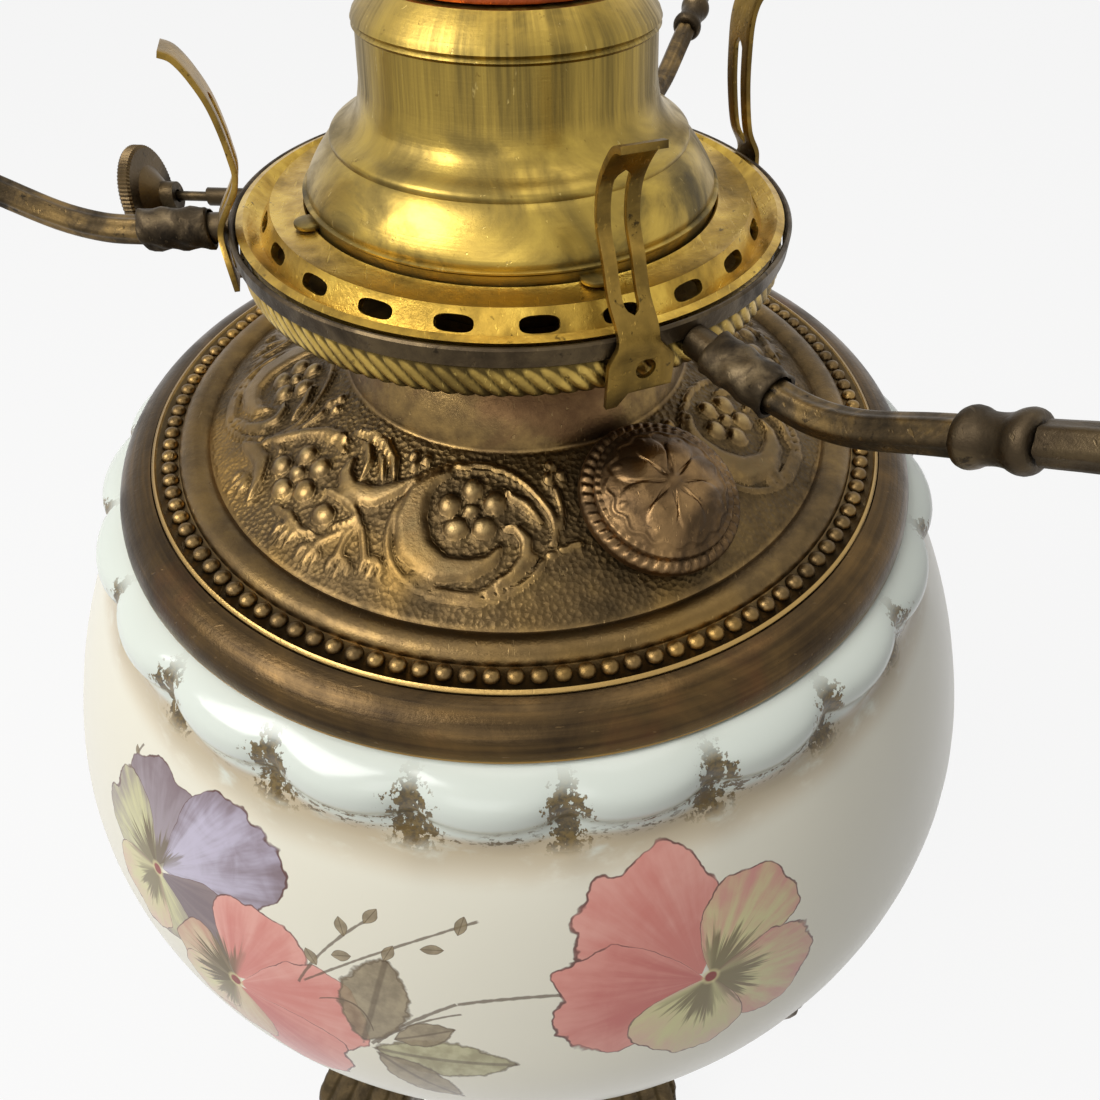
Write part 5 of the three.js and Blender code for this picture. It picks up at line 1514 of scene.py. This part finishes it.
def arm_ferrule():
    half = tripod.ferrule_length / 2
    ferrule_shares = [
        (-1, 0.78), (-0.92, 0.92), (-0.72, 1), (-0.5, 0.95), (-0.3, 0.84), (0, 0.8), (0.3, 0.84),
        (0.5, 0.95), (0.72, 1), (0.92, 0.92), (1, 0.78),
    ]
    side = flowing([(tripod.ferrule_radius * r, z * half) for z, r in ferrule_shares], 3)
    outline = [(0, -half), *side, (0, half)]
    piece = turned("arm_ferrule", outline, 32)
    turn = Matrix.Rotation(quarter - ferrule_slope, 4, "Y")
    return placed(piece, Matrix.Translation((ferrule_spot[0], 0, ferrule_spot[1])) @ turn)


solder_metal = metal("solder_metal", (100, 86, 64), (66, 56, 42), (40, 34, 27), 0.48, streak=0.2, cloud=220)
arm_pieces = [
    ("arm_sleeve", arm_sleeve(), solder_metal), ("inner_arm", inner_arm(), arm_brass),
    ("arm_ferrule", arm_ferrule(), dark_bronze), ("outer_arm", outer_arm(), dark_bronze),
]
for side, angle in arm_angles.items():
    for label, model, material in arm_pieces:
        twin = copy_of(model, f"{side}_{label}_finished", Matrix.Rotation(angle, 4, "Z"))
        settled(twin, material, f"{side}_{label}", smooth=50)
for label, model, material in arm_pieces:
    bpy.data.objects.remove(model)


prong_root = band_radius + gap
strap_base = band_base - rope.height - gap
straps = [
    Sizes(name="front", angle=math.radians(-70.5), lean=0.0082, lip=0.0024, tip=0.001, bend_shares=[
        (0, 0), (0, 0.14), (0, 0.27), (0.43, 0.38), (0.72, 0.51), (1, 0.63), (1, 0.78), (0.65, 0.92)]),
    Sizes(name="back", angle=math.radians(21), lean=0.006, lip=0.0024, tip=0.001, bend_shares=[
        (0, 0), (0, 0.14), (0, 0.27), (0.42, 0.4), (0.75, 0.6), (0.93, 0.78), (1, 0.93), (0.85, 1.02)]),
    Sizes(name="left", angle=math.radians(192.5), lean=0.0044, lip=0.0016, tip=0.0008, bend_shares=[
        (0, 0), (0, 0.14), (0, 0.27), (0.9, 0.46), (1, 0.6), (0.86, 0.78), (0.56, 0.9), (0.2, 0.98)]),
]


def half_widths(rise):
    """The strap's left and right reach and its slot's half width at a height above its foot."""
    half = prong.width / 2
    taper = min(max((rise - prong.plate_height * 0.55) / (prong.plate_height * 0.5), 0), 1)
    taper = taper * taper * (3 - 2 * taper)
    left, right = mix(prong.plate_left, half, taper), mix(prong.plate_right, half, taper)
    slot_half = prong.slot_width / 2
    into = min(rise - prong.slot_start, prong.slot_end - rise)
    open_half = 0 if into <= 0 else slot_half * math.sqrt(1 - max(1 - into / slot_half, 0) ** 2)
    return left, right, open_half


def spring_prong(strap):
    root = prong_root + prong.sheet
    side = [(root - x * strap.lean, strap_base + z * prong.height) for x, z in strap.bend_shares]
    side.append((side[-1][0] + strap.lip, side[-1][1] + strap.tip))
    path = flowing(side, 8)
    clear_selection()
    bpy.ops.mesh.primitive_grid_add(x_subdivisions=8, y_subdivisions=len(path) - 1, size=1)
    piece = bpy.context.object
    piece.name = f"{strap.name}_prong_strap"
    piece.data.name = piece.name
    columns = 9
    points = points_of(piece)
    order = np.lexsort((points[:, 0], np.round(points[:, 1], 4)))
    in_slot = []
    for row, (reach, level) in enumerate(path):
        left, right, open_half = half_widths(level - strap_base)
        spread = [-left, -mix(open_half, left, 0.6), -mix(open_half, left, 0.2), -open_half, 0, open_half,
                  mix(open_half, right, 0.2), mix(open_half, right, 0.6), right]
        for column in range(columns):
            vertex = order[row * columns + column]
            on_tail = row == 0 and spread[column] < -prong.plate_left + prong.tail_width * 1.2
            drop = prong.tail_depth if on_tail else 0
            points[vertex] = (reach, spread[column], level - drop)
        if open_half > gap / 3:
            in_slot.append((order[row * columns + 3], order[row * columns + 5]))
    push_points(piece, points)
    slot_edges = {int(v) for pair in in_slot for v in pair}
    middles = {int(order[row * columns + 4]) for row in range(len(path))}
    edit(piece)
    bpy.ops.mesh.select_all(action="DESELECT")
    leave_edit()
    for face in piece.data.polygons:
        corners = set(face.vertices)
        face.select = bool(corners & middles) and len(corners & slot_edges) >= 1
    bpy.ops.object.mode_set(mode="EDIT")
    bpy.ops.mesh.delete(type="FACE")
    bpy.ops.mesh.select_all(action="SELECT")
    bpy.ops.mesh.remove_doubles(threshold=merge_gap)
    bpy.ops.mesh.select_all(action="SELECT")
    bpy.ops.mesh.delete_loose()
    leave_edit()
    face_outwards(piece)
    with_modifier(piece, "SOLIDIFY", {"thickness": prong.sheet * 0.92, "offset": 0})
    placed(piece, Matrix.Translation((-prong.sheet / 2, 0, 0)))
    face_outwards(piece)
    clear_selection()
    bpy.ops.mesh.primitive_cylinder_add(vertices=24, radius=prong.hole_radius, depth=prong.plate_height)
    hole = placed(bpy.context.object, Matrix.Translation(
        (root, prong.hole_offset, strap_base + prong.hole_height)) @ Matrix.Rotation(quarter, 4, "Y"))
    pierced(piece, hole)
    rounded(piece, prong.sheet / 5)
    return placed(piece, Matrix.Rotation(strap.angle, 4, "Z"))


# Spring prongs in the darkened brass that stands in for shade and dark reflections
for strap in straps:
    settled(spring_prong(strap), strap_brass, f"{strap.name}_prong", smooth=40)


# Every other CAD node: a soft-edged copy with its own finish

inner_nodes = {
    "fount_tank", "tank_bottom", "draught_tube", "wick_tube", "wick_carrier", "pinion", "burner_base",
}
for node in sorted(frame["nodes"]):
    if frame["nodes"][node].hide_render:
        continue
    finish_here = hidden_brass if node in inner_nodes else material_of_slot[slot_of_node[node]]
    if node in ("wick_shaft", "shaft_housing"):
        finish_here = knob_bronze
    settled(rounded(merged_copy(node), soft_edge), finish_here, node)


# Camera, as in the photograph

camera_spot = Vector((0, -0.1286, 0.3411))
camera_pitch, camera_yaw, camera_roll = (math.radians(angle) for angle in (48.33, 3.07, 0.55))
focal_share = 744.1 / 1100
sensor_width = 36

forward = Vector((
    math.sin(camera_yaw) * math.cos(camera_pitch), math.cos(camera_yaw) * math.cos(camera_pitch),
    -math.sin(camera_pitch)))
level_right = Vector((math.cos(camera_yaw), -math.sin(camera_yaw), 0))
level_up = level_right.cross(forward)
camera_right = level_right * math.cos(camera_roll) + level_up * math.sin(camera_roll)
camera_up = level_up * math.cos(camera_roll) - level_right * math.sin(camera_roll)
camera_data = bpy.data.cameras.new("camera")
camera_data.sensor_width = sensor_width
camera_data.lens = focal_share * sensor_width
camera_data.clip_start = gap
camera = bpy.data.objects.new("camera", camera_data)
bpy.context.scene.collection.objects.link(camera)
camera_turn = Matrix((camera_right, camera_up, -forward)).transposed().to_4x4()
camera.matrix_world = Matrix.Translation(camera_spot) @ camera_turn
bpy.context.scene.camera = camera

# Floor, lamps and a white surround

floor_size = 12
clear_selection()
bpy.ops.mesh.primitive_plane_add(size=floor_size)
floor = bpy.context.object
floor.name = "floor"


def seen_directly(place):
    """1 for what the camera sees itself or in metal and glass, 0 for the light on the object."""
    kinds = ("Is Camera Ray", "Is Glossy Ray", "Is Transmission Ray")
    camera_ray, glossy, through = (place.add("ShaderNodeLightPath", {}, {}, kind) for kind in kinds)
    return camera_ray.maths("MAXIMUM", glossy).maths("MAXIMUM", through)


floor_material, floor_place = new_material("pale_floor")
matte = floor_place.add("ShaderNodeBsdfDiffuse", {}, {"Color": paint(206, 204, 200)})
glow = floor_place.add("ShaderNodeEmission", {}, {"Color": (1, 1, 1, 1), "Strength": 1})
glow_share = seen_directly(floor_place) * 0.9
floor_mix = floor_place.add("ShaderNodeMixShader", {}, {0: glow_share, 1: matte, 2: glow})
floor_place.add("ShaderNodeOutputMaterial", {}, {"Surface": floor_mix})
floor.data.materials.append(floor_material)

world = bpy.data.worlds.new("studio")
bpy.context.scene.world = world
world.use_nodes = True
world.node_tree.nodes.clear()
sky = Wire(world.node_tree, None)
strength = seen_directly(sky) * 0.88 + 0.12
backdrop = sky.add("ShaderNodeBackground", {}, {"Color": (1, 1, 1, 1), "Strength": strength})
sky.add("ShaderNodeOutputWorld", {}, {"Surface": backdrop})

lamp_aim = Vector((0, 0, 0.22))
lamps = [
    Sizes(name="key", azimuth=-156, elevation=48, distance=0.9, size=0.5, power=6.5),
    Sizes(name="top", azimuth=60, elevation=80, distance=1.0, size=0.6, power=1.6),
    Sizes(name="front", azimuth=-104, elevation=34, distance=1.1, size=0.5, power=1.2),
]
for lamp in lamps:
    light = bpy.data.lights.new(lamp.name, "AREA")
    light.size = lamp.size
    light.energy = lamp.power
    azimuth, elevation = math.radians(lamp.azimuth), math.radians(lamp.elevation)
    flat = math.cos(elevation)
    towards = Vector((math.cos(azimuth) * flat, math.sin(azimuth) * flat, math.sin(elevation)))
    item = bpy.data.objects.new(lamp.name, light)
    item.location = lamp_aim + towards * lamp.distance
    item.rotation_euler = towards.to_track_quat("Z", "Y").to_euler()
    bpy.context.scene.collection.objects.link(item)

bpy.context.scene.view_settings.view_transform = "Standard"
